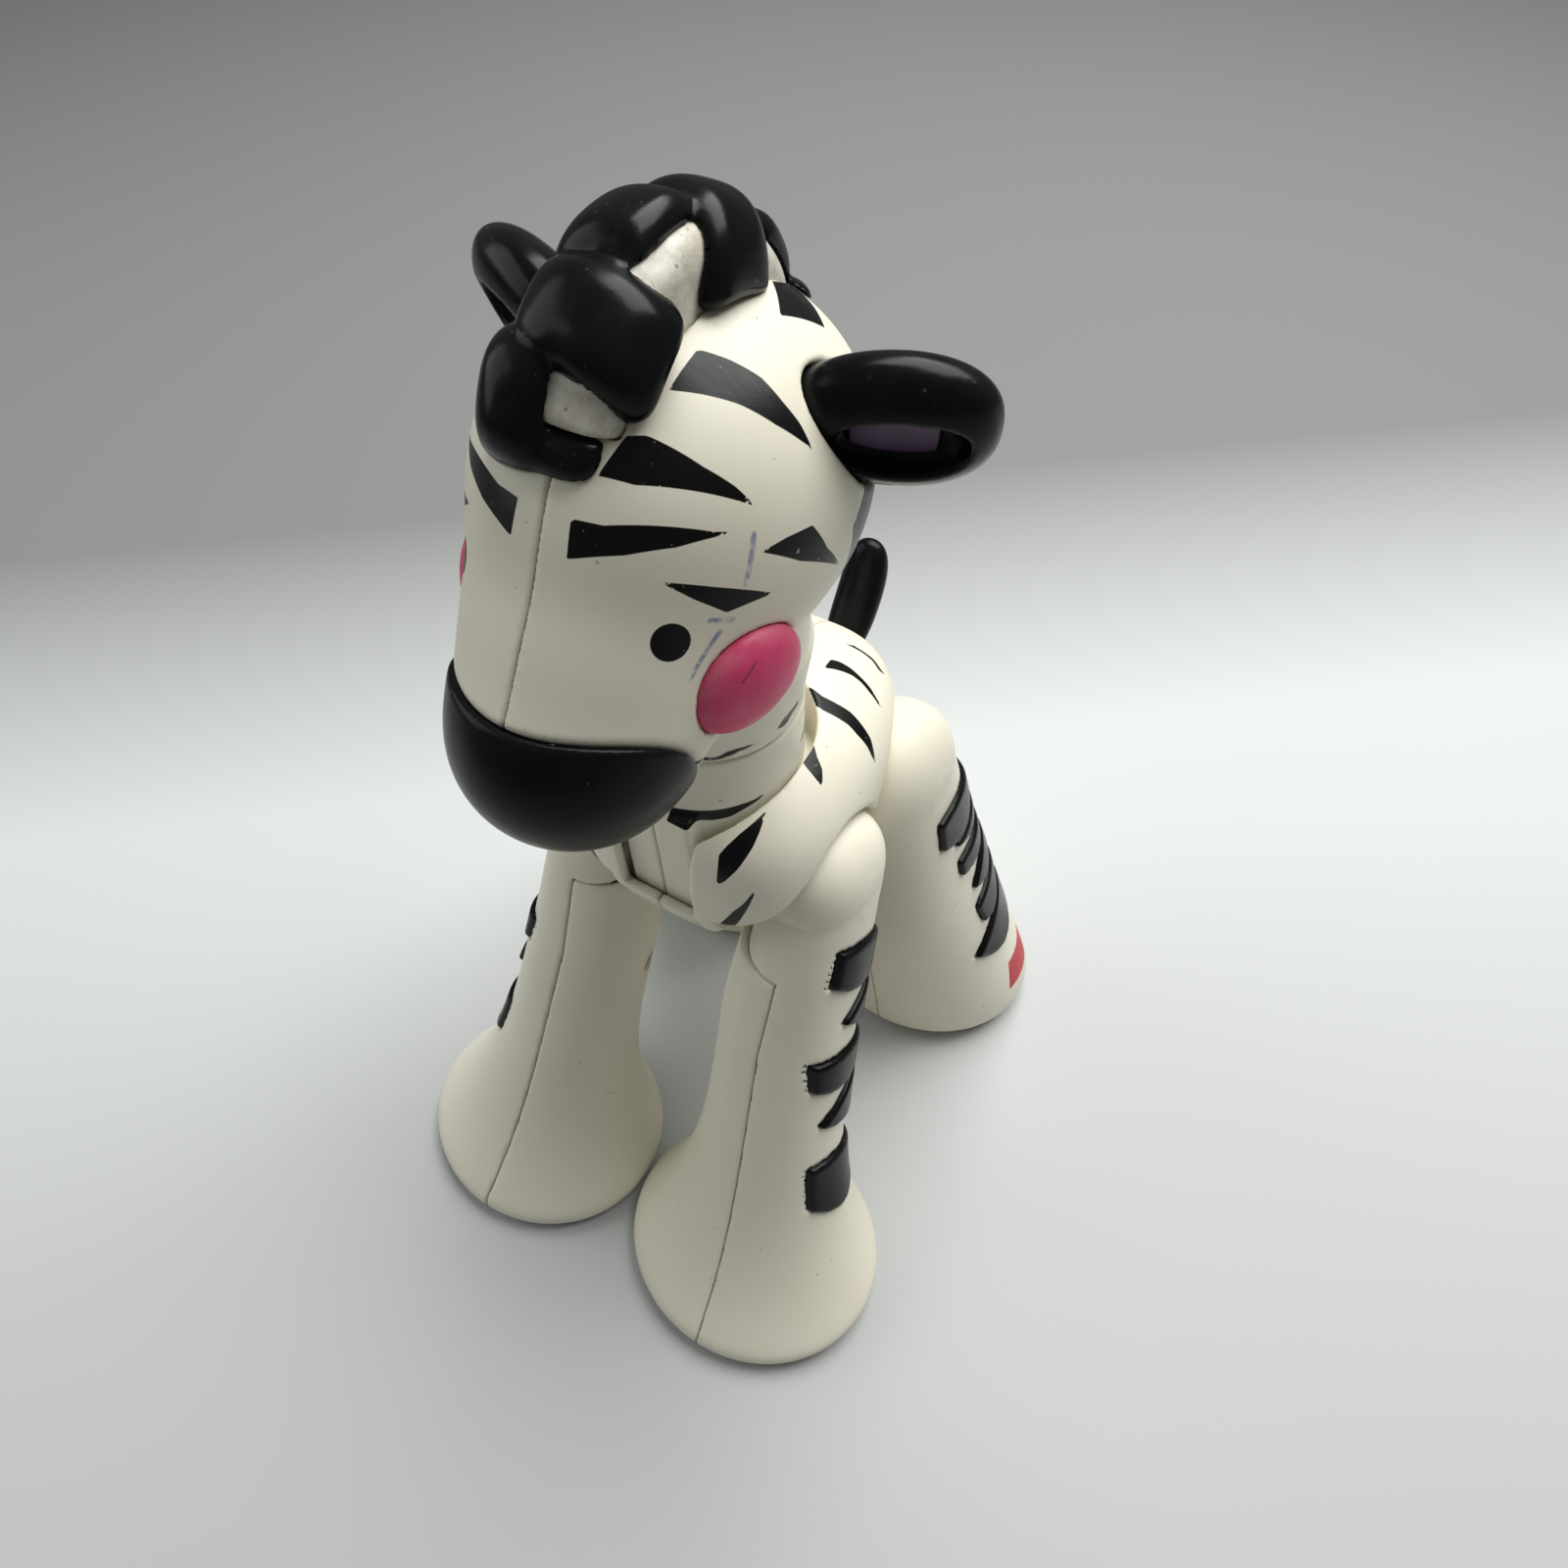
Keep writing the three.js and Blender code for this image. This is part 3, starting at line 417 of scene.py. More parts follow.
def black_finish(name, tone, rough, dust):
    """Black plastic or rubber with dust, faint smears and small scratches."""
    f = Finish(name, IOR=1.45, Specular_IOR_Level=0.16)
    smear = f.noise(7, 4, 0.6)
    fine = f.noise(0.8, 3, 0.6)
    grain = f.noise(0.3, 2)
    specks = fine.over(0.70, 0.76) * dust
    colour = f.mix(smear.over(0.4, 0.8) * 0.35, tone, tuple(3.2 * c for c in tone))
    colour = f.mix(specks, colour, DUST_GREY)
    rough = rough + 0.14 * smear.over(0.3, 0.75) + 0.25 * specks
    return f.ready(colour, rough, grain * 0.5 + smear, 0.14, 0.10)


def plain_finish(name, colour, rough, metal=0.0, grain_mm=0.5):
    """Moulded or turned stock with a little colour variation and grain."""
    f = Finish(name, Metallic=metal)
    cloud = f.noise(4, 3)
    fine = f.noise(grain_mm, 3)
    colour = f.mix(cloud.over(0.35, 0.7), colour, tuple(0.82 * c for c in colour))
    return f.ready(colour, rough + 0.12 * cloud.over(0.3, 0.7), fine, 0.15, 0.08)


def cheek_finish():
    """Pink paint over a domed disc, rubbed thin at the edge and scratched across the middle."""
    f = Finish("pink_cheek_paint", IOR=1.45, Specular_IOR_Level=0.3)
    patch = f.noise(2.2, 4, 0.6)
    edge = f.measure("seam").over(1.3, 0.1) * patch.over(0.3, 0.6)
    colour = f.mix(f.noise(5, 3).over(0.4, 0.7), CHEEK_PINK, CHEEK_LIGHT)
    colour = f.mix(edge * 0.35, colour, CHEEK_WORN)
    scratch = f.measure("pen").over(0.22, 0.08) * f.noise(1.2, 3).over(0.38, 0.5)
    colour = f.mix(scratch * 0.8, colour, CHEEK_CUT)
    rough = 0.36 + 0.12 * patch.over(0.3, 0.7)
    return f.ready(colour, rough, patch + f.noise(0.4, 2) * 0.4, 0.14, 0.10)


def core_finish():
    """The pale fin inside the mane, grimy where the locks leave it open."""
    f = Finish("mane_core_plastic", IOR=1.5)
    grime = f.noise(2.4, 5, 0.65)
    colour = f.mix(grime.over(0.38, 0.7) * 0.75, CORE_PALE, CORE_GRIME)
    colour = f.mix(f.noise(0.7, 2).over(0.66, 0.72) * 0.6, colour, CORE_SPECK)
    return f.ready(colour, 0.45 + 0.2 * grime.over(0.4, 0.7), grime, 0.2, 0.12)


FINISHES = {
    "cream_plastic": shell_finish(),
    "black_plastic": black_finish("black_moulded_plastic", (0.004, 0.004, 0.0045), 0.22, dust=0.35),
    "black_rubber": black_finish("black_mane_rubber", (0.004, 0.0045, 0.005), 0.17, dust=0.5),
    "click_plastic": plain_finish("click_wheel_plastic", (0.68, 0.66, 0.60), 0.45),
    "steel": plain_finish("turned_steel", (0.42, 0.43, 0.45), 0.28, metal=1.0, grain_mm=0.2),
    "purple_paint": plain_finish("purple_ear_paint", (0.10, 0.055, 0.115), 0.42, grain_mm=0.6),
    "pink_plastic": cheek_finish(),
}
CORE_FINISH = core_finish()
SOLES = {
    "front_left": ("yellow", (0.77, 0.48, 0.03)),
    "front_right": ("blue", (0.03, 0.09, 0.43)),
    "hind_left": ("red", (0.62, 0.03, 0.07)),
    "hind_right": ("green", (0.05, 0.37, 0.10)),
}
for colour, tone in SOLES.values():
    FINISHES[colour + "_plastic"] = plain_finish(colour + "_sole_plastic", tone, 0.5)


# Pieces

def added(name, data):
    made = bpy.data.objects.new(name, data)
    bpy.context.collection.objects.link(made)
    return made


def piece(name, shape, body, slot_name, nodes, marks=None, material=None):
    """One moulded piece: its mesh in metres, its finish, and the CAD nodes that it stands for."""
    points, faces = shape
    mesh = bpy.data.meshes.new(name)
    mesh.from_pydata((points * MM).tolist(), [], faces.tolist())
    mesh.polygons.foreach_set("use_smooth", [True] * len(mesh.polygons))
    mesh.validate()
    for key in ("ink", "seam", "dirt_and_shade", "pen", "label"):
        values = (marks or {}).get(key, NO_MARK)
        data = mesh.attributes.new(key, "FLOAT", "POINT")
        data.data.foreach_set("value", np.broadcast_to(values, len(points)).astype(np.float32))
    made = added(name, mesh)
    mesh.materials.append(material or FINISHES[slot_name])
    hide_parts(*nodes)
    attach(made, body)
    return made


# Legs

# Round the axle inside a leg, each with its two ends along X and its radius
AXLE_BORE = (0, AXLE_END_X + 0.4, AXLE_R + 0.1)
HUB_ROOM = (0, 12.6, 6.0)
WHEEL_ROOM = (12.6, 16.8, 6.1)
BEARING = (17, 31, AXLE_R + 1.6)

# The screw in its post
SCREW_R = 1.4
SCREW_HEAD_R = 2.3
SCREW_BACK_Y = 3.5
POST_R = 3.1

# The raised stripes and the plate behind them
INSERT_Z = (17, 79.6)
PAD_GAP = 0.1
HOLE_DEPTH = 3.2
PAD_DEPTH = 3.3

# A pad has a front end, a rear end and a half height; the first is blunt in front, the next behind
HIPS = {
    "front": dict(
        y=FRONT_HIP[0], z=FRONT_HIP[1], lean=-FOOT_Y - FRONT_HIP[0],
        tube=10.4, decay=14.7, soft=1.5, ratio=1.02,
        pads=[
            ((-11.2, 75.2), (3.6, 67.6), 3.1),
            ((-12.8, 62.7), (2.0, 59.4), 2.7),
            ((-21.0, 55.3), (-4.6, 49.6), 2.6),
            ((-23.4, 44.1), (-6.8, 42.2), 2.8),
            ((-30.2, 31.6), (-13.0, 24.4), 4.4),
        ],
    ),
    "hind": dict(
        y=HIND_HIP[0], z=HIND_HIP[1], lean=FOOT_Y - HIND_HIP[0],
        tube=8.0, decay=44.0, soft=6.0, ratio=1.11,
        pads=[
            ((20.4, 71.8), (37.6, 72.4), 3.2),
            ((25.0, 65.0), (38.6, 65.4), 1.1),
            ((25.4, 58.0), (39.6, 58.6), 1.7),
            ((29.0, 48.4), (41.0, 51.8), 2.4),
            ((29.6, 39.6), (43.2, 42.6), 2.8),
            ((26.4, 29.2), (44.6, 31.4), 4.0),
        ],
    ),
}


def dome_radius(hip):
    swell = math.exp(-(hip["z"] - FOOT_WIDEST_Z) / hip["decay"])
    return (hip["tube"] + (FOOT_HALF_X - hip["tube"]) * swell) * hip["ratio"]


def leg_section(hip, z, narrowing=1.0):
    """Middle and half widths of a leg at a height."""
    below = np.maximum(0, FOOT_WIDEST_Z - z)
    away = np.hypot(np.maximum(0, z - FOOT_WIDEST_Z), hip["soft"]) - hip["soft"]
    swell = np.exp(-away / hip["decay"]) - 0.035 * (below / 3) ** 2
    level = np.minimum(z, hip["z"])
    narrow = HIP_SHIFT * narrowing * smooth((level - 58) / 18)
    ratio = lerp(FOOT_HALF_Y / FOOT_HALF_X, hip["ratio"], smooth((level - 4) / 46))
    half = hip["tube"] + (FOOT_HALF_X - hip["tube"]) * swell
    middle_x = lerp(FOOT_X, HIP_X, np.clip((level - 5) / (hip["z"] - 5), 0, 1)) + narrow
    return middle_x, hip["y"] + hip["lean"] * (1 - level / hip["z"]), half - narrow, half * ratio


def leg_form(hip, x, y, z, narrowing=1.0):
    middle_x, middle_y, half_x, half_y = leg_section(hip, z, narrowing)
    n = 2 / lerp(1, 0.86, smooth((np.minimum(z, hip["z"]) - 25) / 30))
    reach = dome_radius(hip)
    rise = np.maximum(0, z - hip["z"]) / reach
    return capped_oval(x - middle_x, y - middle_y, rise, half_x, half_y, reach, n, 2.2)


def leg_middle(hip, z):
    """The sheet on which a leg's two shells meet."""
    at = [-20.0, 5.0, 58.0, 120.0]
    return np.interp(z, at, [float(leg_section(hip, np.float64(a))[0]) for a in at])


def pad_outline(front, rear, half, blunt_front, steps=7):
    (y0, z0), (y1, z1) = front, rear
    dy, dz = y1 - y0, z1 - z0
    long = math.hypot(dy, dz)

    def edge(t, way):
        u = t if blunt_front else 1 - t
        thick = half * (1 - u + 3.0 * u * (1 - u)) + 0.25
        sag = -1.1 * 4 * t * (1 - t)
        return y0 + dy * t - way * thick * dz / long, z0 + dz * t + sag + way * thick * dy / long

    there = [edge(i / steps, -1) for i in range(steps + 1)]
    back = [edge(i / steps, 1) for i in range(steps, -1, -1)]
    return there + back


def pads_form(hip, y, z):
    outlines = [pad_outline(*pad, index % 2 == 0) for index, pad in enumerate(hip["pads"])]
    return nearest_of(polygon(outline, y, z) for outline in outlines)


def rod(x0, x1, radius, at, x, y, z):
    """A round bar along X."""
    return np.maximum(np.hypot(y - at[0], z - at[1]) - radius, np.maximum(x0 - x, x - x1))


def leg_fields(hip):
    axis = (hip["y"], hip["z"])
    screw = (float(leg_section(hip, np.float64(SCREW_Z))[1]) + SCREW_BACK_Y, SCREW_Z)
    split = float(leg_section(hip, np.float64(SCREW_Z))[0])

    def wall(x, y, z, narrowing):
        skin = leg_form(hip, x, y, z, narrowing)
        rimmed = both(skin, RIM_Z - z, 3.2)
        return skin, without(rimmed, skin + WALL, 0.3)

    def outer(x, y, z):
        skin, shell = wall(x, y, z, 1.0)
        shell = either(shell, np.maximum(skin, rod(*BEARING, axis, x, y, z)), 0.3)
        sheet = leg_middle(hip, z)
        hole = np.maximum(pads_form(hip, y, z) - PAD_GAP, sheet + HOLE_DEPTH - x)
        shell = without(shell, hole, 0.4)
        for room in (AXLE_BORE, HUB_ROOM, WHEEL_ROOM):
            shell = without(shell, rod(*room, axis, x, y, z), 0.2)
        region = np.minimum(sheet + PARTING / 2 - x, SPLIT_Z + 0.15 - z)
        return both(shell, region, PARTING_EDGE)

    def inner(x, y, z):
        skin, shell = wall(x, y, z, 0.5)
        post = rod(0, split - PARTING / 2, POST_R, screw, x, y, z)
        shell = either(shell, np.maximum(skin, post), 0.4)
        shell = without(shell, rod(0, split - 5.5, SCREW_HEAD_R, screw, x, y, z), 0.35)
        shell = without(shell, rod(0, split + 6, SCREW_R, screw, x, y, z), 0.2)
        region = both(x - leg_middle(hip, z) + PARTING / 2, z - SPLIT_Z + 0.15, 0.3)
        return both(shell, region, 0.5)

    def insert(x, y, z):
        skin = leg_form(hip, x, y, z)
        sheet = leg_middle(hip, z)
        behind = sheet + PAD_DEPTH - x
        under = skin + WALL + PRESS_GAP
        pads = both(pads_form(hip, y, z), skin - PAD_RISE, 0.7)
        pads = both(pads, np.maximum(behind, -(skin + 3.0)), 0.2)
        backing = np.maximum(np.maximum(under, -(skin + 3.2)), behind)
        backing = np.maximum(backing, np.maximum(INSERT_Z[0] - z, z - INSERT_Z[1]))
        backing = np.maximum(backing, -rod(0, OUTSIDE_X, AXLE_R + 3, axis, x, y, z))
        post = np.maximum(rod(split + PARTING, OUTSIDE_X, POST_R, screw, x, y, z), under)
        joined = np.minimum(np.minimum(pads, backing), post)
        return without(joined, rod(0, split + 6.6, SCREW_R, screw, x, y, z), 0.2)

    return outer, inner, insert


def leg_box(hip):
    foot = (FOOT_X, hip["y"] + hip["lean"])
    reach = dome_radius(hip) + 1.5
    low = (-0.4, min(foot[1] - FOOT_HALF_Y, hip["y"] - reach) - 1.2, 0.8)
    high = (49.6, max(foot[1] + FOOT_HALF_Y, hip["y"] + reach) + 1.2, hip["z"] + reach)
    return low, high


LABEL = [(33.0, 10.2), (44.5, 7.6), (46.5, 14.0), (35.0, 17.0)]
KNOCKS = [(27.5, -13.2, 62.0), (27.6, -14.5, 60.4), (28.0, -13.0, 59.6)]


def leg_marks(points, hip, leg):
    """Dirt and small knocks on a leg shell, and the plain red label on one foot."""
    x, y, z = points.T
    marks = {"seam": np.abs(np.abs(x) - leg_middle(hip, z)) + np.maximum(0, z - SPLIT_Z) * 3}
    if leg == "hind_left":
        marks["label"] = np.where(x > FOOT_X + 8, polygon(LABEL, y, z), NO_MARK)
    if leg == "front_left":
        knocked = (np.linalg.norm(points - knock, axis=1) - 0.1 for knock in KNOCKS)
        marks["dirt_and_shade"] = nearest_of(knocked, NO_MARK) * 2.2
    return marks


SOLE_HALF = (19.8, 16.4)
SOLE_THICK = 3.2
SOLE_RING = (14.5, 11.6)
SOLE_GROOVE = 0.7


def sole_form(hip):
    """A flat coloured sole with a ring-shaped groove beneath."""
    middle = hip["y"] + hip["lean"] * 0.985

    def field(x, y, z):
        plate = oval(x - FOOT_X, y - middle, *SOLE_HALF)
        plate = both(plate, np.maximum(-z, z - SOLE_THICK), 1.0)
        ring = np.abs(oval(x - FOOT_X, y - middle, *SOLE_RING)) - SOLE_GROOVE
        return without(plate, np.maximum(ring, z - SOLE_GROOVE), 0.4)

    return form(field, (FOOT_X - 20.4, middle - 17, -0.6), (FOOT_X + 20.4, middle + 17, 3.9), 0.5)


for tag, hip in HIPS.items():
    low, high = leg_box(hip)
    outer_field, inner_field, insert_field = leg_fields(hip)
    shapes = {
        "outer_shell": form(outer_field, low, high, 0.6),
        "inner_shell": form(inner_field, low, (27, high[1], SPLIT_Z + 1), 0.6),
        "stripe_insert": form(insert_field, (10, low[1], 14), (high[0], high[1], 82), 0.5),
        "sole": sole_form(hip),
    }
    for side_name, side in (("left", 1), ("right", -1)):
        leg = f"{tag}_{side_name}"
        slots = {"stripe_insert": "black_plastic", "sole": SOLES[leg][0] + "_plastic"}
        for part, left_shape in shapes.items():
            shape = left_shape if side > 0 else mirrored(left_shape)
            marks = leg_marks(shape[0], hip, leg) if part.endswith("shell") else None
            slot_name = slots.get(part, "cream_plastic")
            piece(f"{leg}_{part}_skin", shape, f"{leg}_leg", slot_name, [f"{leg}_{part}"], marks)


# Body

BODY_SQUARE = 2.78
BOSS = (6.4, 10.4, 5.0)
SLOT_X = 6.2
SLOT_Y = (-30, 11)
SLOT_LOW_Z = 83.5
TAIL_LOW_Z = 83
TAIL_RISE = 18.8
TAIL_FOOT_Y = 37.6
TAIL_SWEEP = 11.4
TAIL_BEND = 1.5


def leg_pocket(hip, grow, x, y, z):
    """Room for a leg's dome and its swing, beside the body."""
    hip_y, hip_z, lean = hip["y"], hip["z"], hip["lean"]
    reach = dome_radius(hip) + grow
    middle_x, _, half_x, _ = (float(v) for v in leg_section(hip, np.float64(hip_z)))
    way = math.copysign(1, lean)

    def side(tilt, facing):
        s, c = math.sin(tilt), math.cos(tilt)
        at = (hip_y + facing * reach * c, hip_z + facing * reach * s)
        return at, (at[0] + 60 * s + facing * 3, at[1] - 60 * c)

    rest = math.atan2(abs(lean), hip_z)
    far_high, far_low = side(way * (rest + math.radians(LEG_OUTWARD)), way)
    near_high, near_low = side(way * (rest - math.radians(LEG_INWARD)), -way)
    wedge = np.maximum(polygon([far_high, far_low, near_low, near_high], y, z), middle_x - half_x - grow - x)
    round_r = np.hypot(y - hip_y, z - hip_z)
    crown = oval(np.maximum(middle_x - x, 0), round_r, half_x + grow, reach, 2.2)
    return either(wedge, crown, 0.6)


def body_skin(x, y, z):
    """A square-sided barrel that is blunt in front and rounder behind."""
    ahead, behind = BODY_MID[0] - BODY_FRONT_Y, BODY_REAR_Y - BODY_MID[0]
    in_front = y < BODY_MID[0]
    t = (y - BODY_MID[0]) / np.where(in_front, ahead, behind)
    front = capped_oval(x, z - BODY_MID[1], t, *BODY_HALF, ahead, BODY_SQUARE, 3.2)
    rear = capped_oval(x, z - BODY_MID[1], t, *BODY_HALF, behind, BODY_SQUARE, 2.1)
    return np.where(in_front, front, rear)


def neck_forward(z):
    """How far the neck's skirt reaches forward at a height."""
    return lerp(NECK_FRONT_R, NECK_R, smooth((z - 100) / (NECK_TOP_Z - 100)))


def nod_sweep(degrees, z):
    return math.tan(math.radians(degrees)) * (z - FRONT_HIP[1])


def from_front_axle(y, z):
    return np.hypot(y - FRONT_HIP[0], z - FRONT_HIP[1])


def neck_room(grow, x, y, z):
    """The room the neck column sweeps through as it nods."""
    dy = y - NECK_Y
    ahead = oval(x, dy, NECK_R + grow, neck_forward(z) + nod_sweep(NOD_FORWARD, z) + grow)
    behind = np.hypot(x, np.maximum(dy - nod_sweep(NOD_BACK, z), 0)) - NECK_R - grow
    opening = np.where(dy < 0, ahead, behind)
    opening = np.maximum(opening, NECK_LOW_Z - 1.7 - grow - z)
    saddle = from_front_axle(y, z) - SADDLE_R + grow
    return both(opening, -saddle, 0.5)


def fan_slot(x, y, z):
    """The slot in the chest in which the neck's lower fan swings."""
    straight = np.maximum(np.maximum(y - SLOT_Y[1], SLOT_Y[0] - y), SLOT_LOW_Z - z)
    turned = from_front_axle(y, z) - FAN_R - COLLAR_GAP
    return np.maximum(np.abs(x) - SLOT_X, np.minimum(straight, turned))


def tail_skin(x, y, z, start=0.0, end=1.0, wide=4.0, thick=2.9, back=0.0):
    """The tail's plume, or with other ends and widths the groove along its back."""
    t = (z - TAIL_LOW_Z) / TAIL_RISE
    middle = TAIL_FOOT_Y + back + TAIL_SWEEP * np.sin(np.clip(t, -0.2, 1.2) * TAIL_BEND)
    v = (t - start) / (end - start)
    slant = np.sqrt(1 + (TAIL_SWEEP * TAIL_BEND * np.cos(np.clip(t, 0, 1) * TAIL_BEND) / TAIL_RISE) ** 2)
    return capped_oval(x, y - middle, 2 * v - 1, wide, thick * slant, 9.4 * (end - start), 2.0, 2.6)


def tail_root(x, y, z):
    return np.maximum(np.hypot(x, z - 87) - 2.6, np.abs(y - 36) - 6)


def body_field(x, y, z):
    shell = body_skin(x, y, z)
    hollow = shell + WALL
    for hip in HIPS.values():
        shell = without(shell, leg_pocket(hip, POCKET_GAP, x, y, z), 1.1)
        hollow = np.maximum(hollow, -leg_pocket(hip, POCKET_GAP + WALL, x, y, z))
    for axis in (FRONT_HIP, HIND_HIP):
        boss = rod(*BOSS, axis, x, y, z)
        shell = np.minimum(shell, boss)
        hollow = np.maximum(hollow, -boss)
    hollow = np.maximum(hollow, -neck_room(COLLAR_GAP + WALL, x, y, z))
    shell = without(shell, hollow, 0.3)
    shell = without(shell, neck_room(COLLAR_GAP, x, y, z), 0.5)
    shell = without(shell, fan_slot(x, y, z), 0.5)
    for axis in (FRONT_HIP, HIND_HIP):
        shell = without(shell, rod(0, 30, AXLE_R + FIT, axis, x, y, z), 0.2)
    shell = without(shell, np.minimum(tail_skin(x, y, z), tail_root(x, y, z)) - PRESS_GAP, 0.4)
    return left_half(shell, x)


def printed(stripes, centre, points):
    """Distance to the nearest printed stripe, each given by corners seen from a centre."""
    away = np.stack([np.abs(points[:, 0]), *points.T[1:]], 1) - centre
    length = np.linalg.norm(away, axis=1)
    away = away / length[:, None]
    nearest = np.full(len(points), NO_MARK)
    for corners in stripes:
        rays = np.array(corners, float)
        rays /= np.linalg.norm(rays, axis=1, keepdims=True)
        middle = unit(rays.mean(0))
        across = unit(np.cross(middle, (0.1, 0.2, 1.0)))
        up = np.cross(across, middle)
        facing = rays @ middle
        flat = [tuple(v) for v in np.stack([rays @ across / facing, rays @ up / facing], 1)]
        depth = away @ middle
        near = depth > 0.35
        u, v = away[near] @ across / depth[near], away[near] @ up / depth[near]
        distance = polygon(flat, u, v) * length[near]
        nearest[near] = np.minimum(nearest[near], distance)
    return nearest


BODY_CENTRE = (0.0, *BODY_MID)
BODY_STRIPES = [
    [(12.8, -6.9, 102.5), (12.3, -9.1, 102.2), (11.2, -11.3, 101.4), (10.4, -13.3, 100.5), (9.7, -14.4, 99.3),
     (10.3, -16.4, 95.5), (10.8, -16.4, 95.1), (11.5, -15.6, 96.2), (12.5, -14.4, 97.8), (13.2, -13.0, 99.4),
     (13.3, -11.5, 100.2), (13.3, -9.7, 101.3), (13.1, -8.2, 102.1)],
    [(8.6, -16.0, 79.0), (9.0, -16.6, 82.4), (10.9, -16.8, 85.9), (12.6, -16.5, 89.4), (13.9, -15.6, 91.8),
     (14.7, -14.8, 93.8), (15.3, -14.3, 94.8), (14.9, -14.9, 92.8), (14.1, -15.6, 89.6), (13.0, -16.2, 86.1)],
    [(7.2, 19.0, 102.7), (7.0, 21.8, 102.1), (8.4, 22.3, 101.7), (10.1, 22.3, 101.3), (11.9, 21.9, 100.8),
     (13.7, 21.3, 100.0), (15.3, 20.5, 99.2), (16.7, 19.9, 98.1), (15.9, 19.8, 99.0), (14.3, 20.3, 100.1),
     (12.6, 20.8, 100.8), (10.9, 20.9, 101.4), (9.2, 20.3, 102.0), (8.0, 19.7, 102.4)],
    [(7.6, 13.0, 104.2), (9.2, 12.0, 104.0), (11.2, 11.5, 103.2), (13.4, 11.9, 102.5), (15.1, 12.1, 101.6),
     (16.7, 11.9, 100.7), (18.2, 11.8, 99.1), (19.4, 11.5, 97.8), (20.0, 11.5, 96.4), (19.3, 12.4, 97.7),
     (18.2, 13.4, 98.9), (16.7, 14.0, 100.5), (14.3, 14.4, 101.8), (12.0, 14.1, 102.8), (9.9, 13.8, 103.3),
     (7.6, 14.4, 103.8)],
    [(10.6, 4.8, 104.2), (11.9, 3.4, 103.7), (13.8, 1.9, 103.0), (15.1, 1.5, 102.2), (16.2, 1.2, 101.6),
     (16.9, 1.1, 101.2), (16.7, 1.9, 101.5), (15.8, 3.2, 101.9), (14.4, 4.3, 102.7), (12.9, 6.0, 103.4),
     (11.6, 7.0, 104.0)],
    [(6.5, 27.3, 100.0), (7.6, 28.2, 99.3), (9.3, 28.3, 98.8), (10.9, 28.2, 98.0), (12.6, 27.5, 97.5),
     (13.7, 27.1, 96.7), (12.8, 26.7, 98.0), (11.1, 27.5, 98.4), (9.3, 27.7, 99.1), (7.5, 27.4, 99.7)],
]


OUTER_SKIN = -0.3


def seam_marks(points, low=-1e9):
    """Distance to the parting line on the middle plane, above a height."""
    return np.where(points[:, 2] > low, np.abs(points[:, 0]), NO_MARK)


left_body = form(body_field, (-0.5, -18.6, 71), (22.8, 39.4, 105.8), 0.5)
for side_name, shape in both_sides(left_body):
    points = shape[0]
    slot_edge = np.hypot(np.maximum(np.abs(points[:, 0]) - 6.4, 0), points[:, 1] + 16.5)
    corners = [np.subtract(stripe, BODY_CENTRE) for stripe in BODY_STRIPES]
    stripes = printed(corners, BODY_CENTRE, points)
    marks = {
        "ink": np.where(body_skin(*points.T) > OUTER_SKIN, stripes, NO_MARK),
        "seam": seam_marks(points),
        # Painted shade: a darker patch along the lower edge of the chest slot
        "dirt_and_shade": slot_edge + np.abs(points[:, 2] - 81.5) * 0.35,
    }
    piece(f"body_{side_name}_skin", shape, "body", "cream_plastic", [f"body_{side_name}_shell"], marks)


def tail_field(x, y, z):
    plume = np.minimum(tail_skin(x, y, z), tail_root(x, y, z))
    return without(plume, tail_skin(x, y, z, 0.24, 0.9, 1.8, 2.0, back=2.6), 0.8)


piece("tail_skin", form(tail_field, (-5, 29, 82), (5, 54, 102.8), 0.35), "body", "black_plastic", ["tail"])


# Neck

FAN_LOW_Z = 74
FAN_TOP_Z = 104
FAN_REAR_Y = 6.6
STUB_R = 7.4
STUB_BORE_R = 5.7


def neck_skin(grow, x, y, z):
    """The neck's column and the fan below it, grown outward by some distance."""
    column = oval(x, y - NECK_Y, NECK_R + grow, np.where(y < NECK_Y, neck_forward(z), NECK_R) + grow)
    column = both(column, np.maximum(NECK_LOW_Z - grow - z, z - NECK_TOP_Z - grow), 0.8)
    round_r = from_front_axle(y, z)
    column = both(column, SADDLE_R - grow - round_r, 0.6)
    fan = np.minimum(round_r - FAN_R - grow, np.maximum(FRONT_HIP[1] - z, FRONT_HIP[0] - FAN_R - grow - y))
    fan = both(fan, np.maximum(y - FAN_REAR_Y - grow, FAN_LOW_Z - grow - z), 0.8)
    fan = both(fan, np.maximum(np.abs(x) - FAN_X - grow, z - FAN_TOP_Z), 0.8)
    return column, fan


def neck_field(x, y, z):
    column, fan = neck_skin(0, x, y, z)
    inner_column, inner_fan = neck_skin(-WALL, x, y, z)
    shell = either(column, fan, 0.8)
    shell = without(shell, np.minimum(inner_column, inner_fan), 0.3)
    tube = np.hypot(x, y - NECK_Y)
    shell = np.minimum(shell, np.maximum(tube - STUB_R, np.abs(z - NECK_TOP_Z - 1.2) - 2.2))
    shell = without(shell, np.maximum(tube - STUB_BORE_R, NECK_TOP_Z - 4 - z), 0.3)
    shell = without(shell, rod(-30, 30, AXLE_R + 0.1, FRONT_HIP, x, y, z), 0.2)
    return left_half(shell, x)


NECK_STRIPES = [
    [(9.6, 105.0), (17.6, 105.0), (25.4, 104.9), (36.1, 104.7), (47.4, 104.5), (56.9, 104.2), (65.8, 104.3),
     (58.8, 103.6), (49.9, 103.3), (41.0, 102.8), (31.7, 102.9), (23.4, 103.3), (16.6, 103.4), (9.0, 103.5)],
    [(98.0, 106.5), (128.0, 108.8), (140.0, 107.4), (120.0, 105.8)],
]


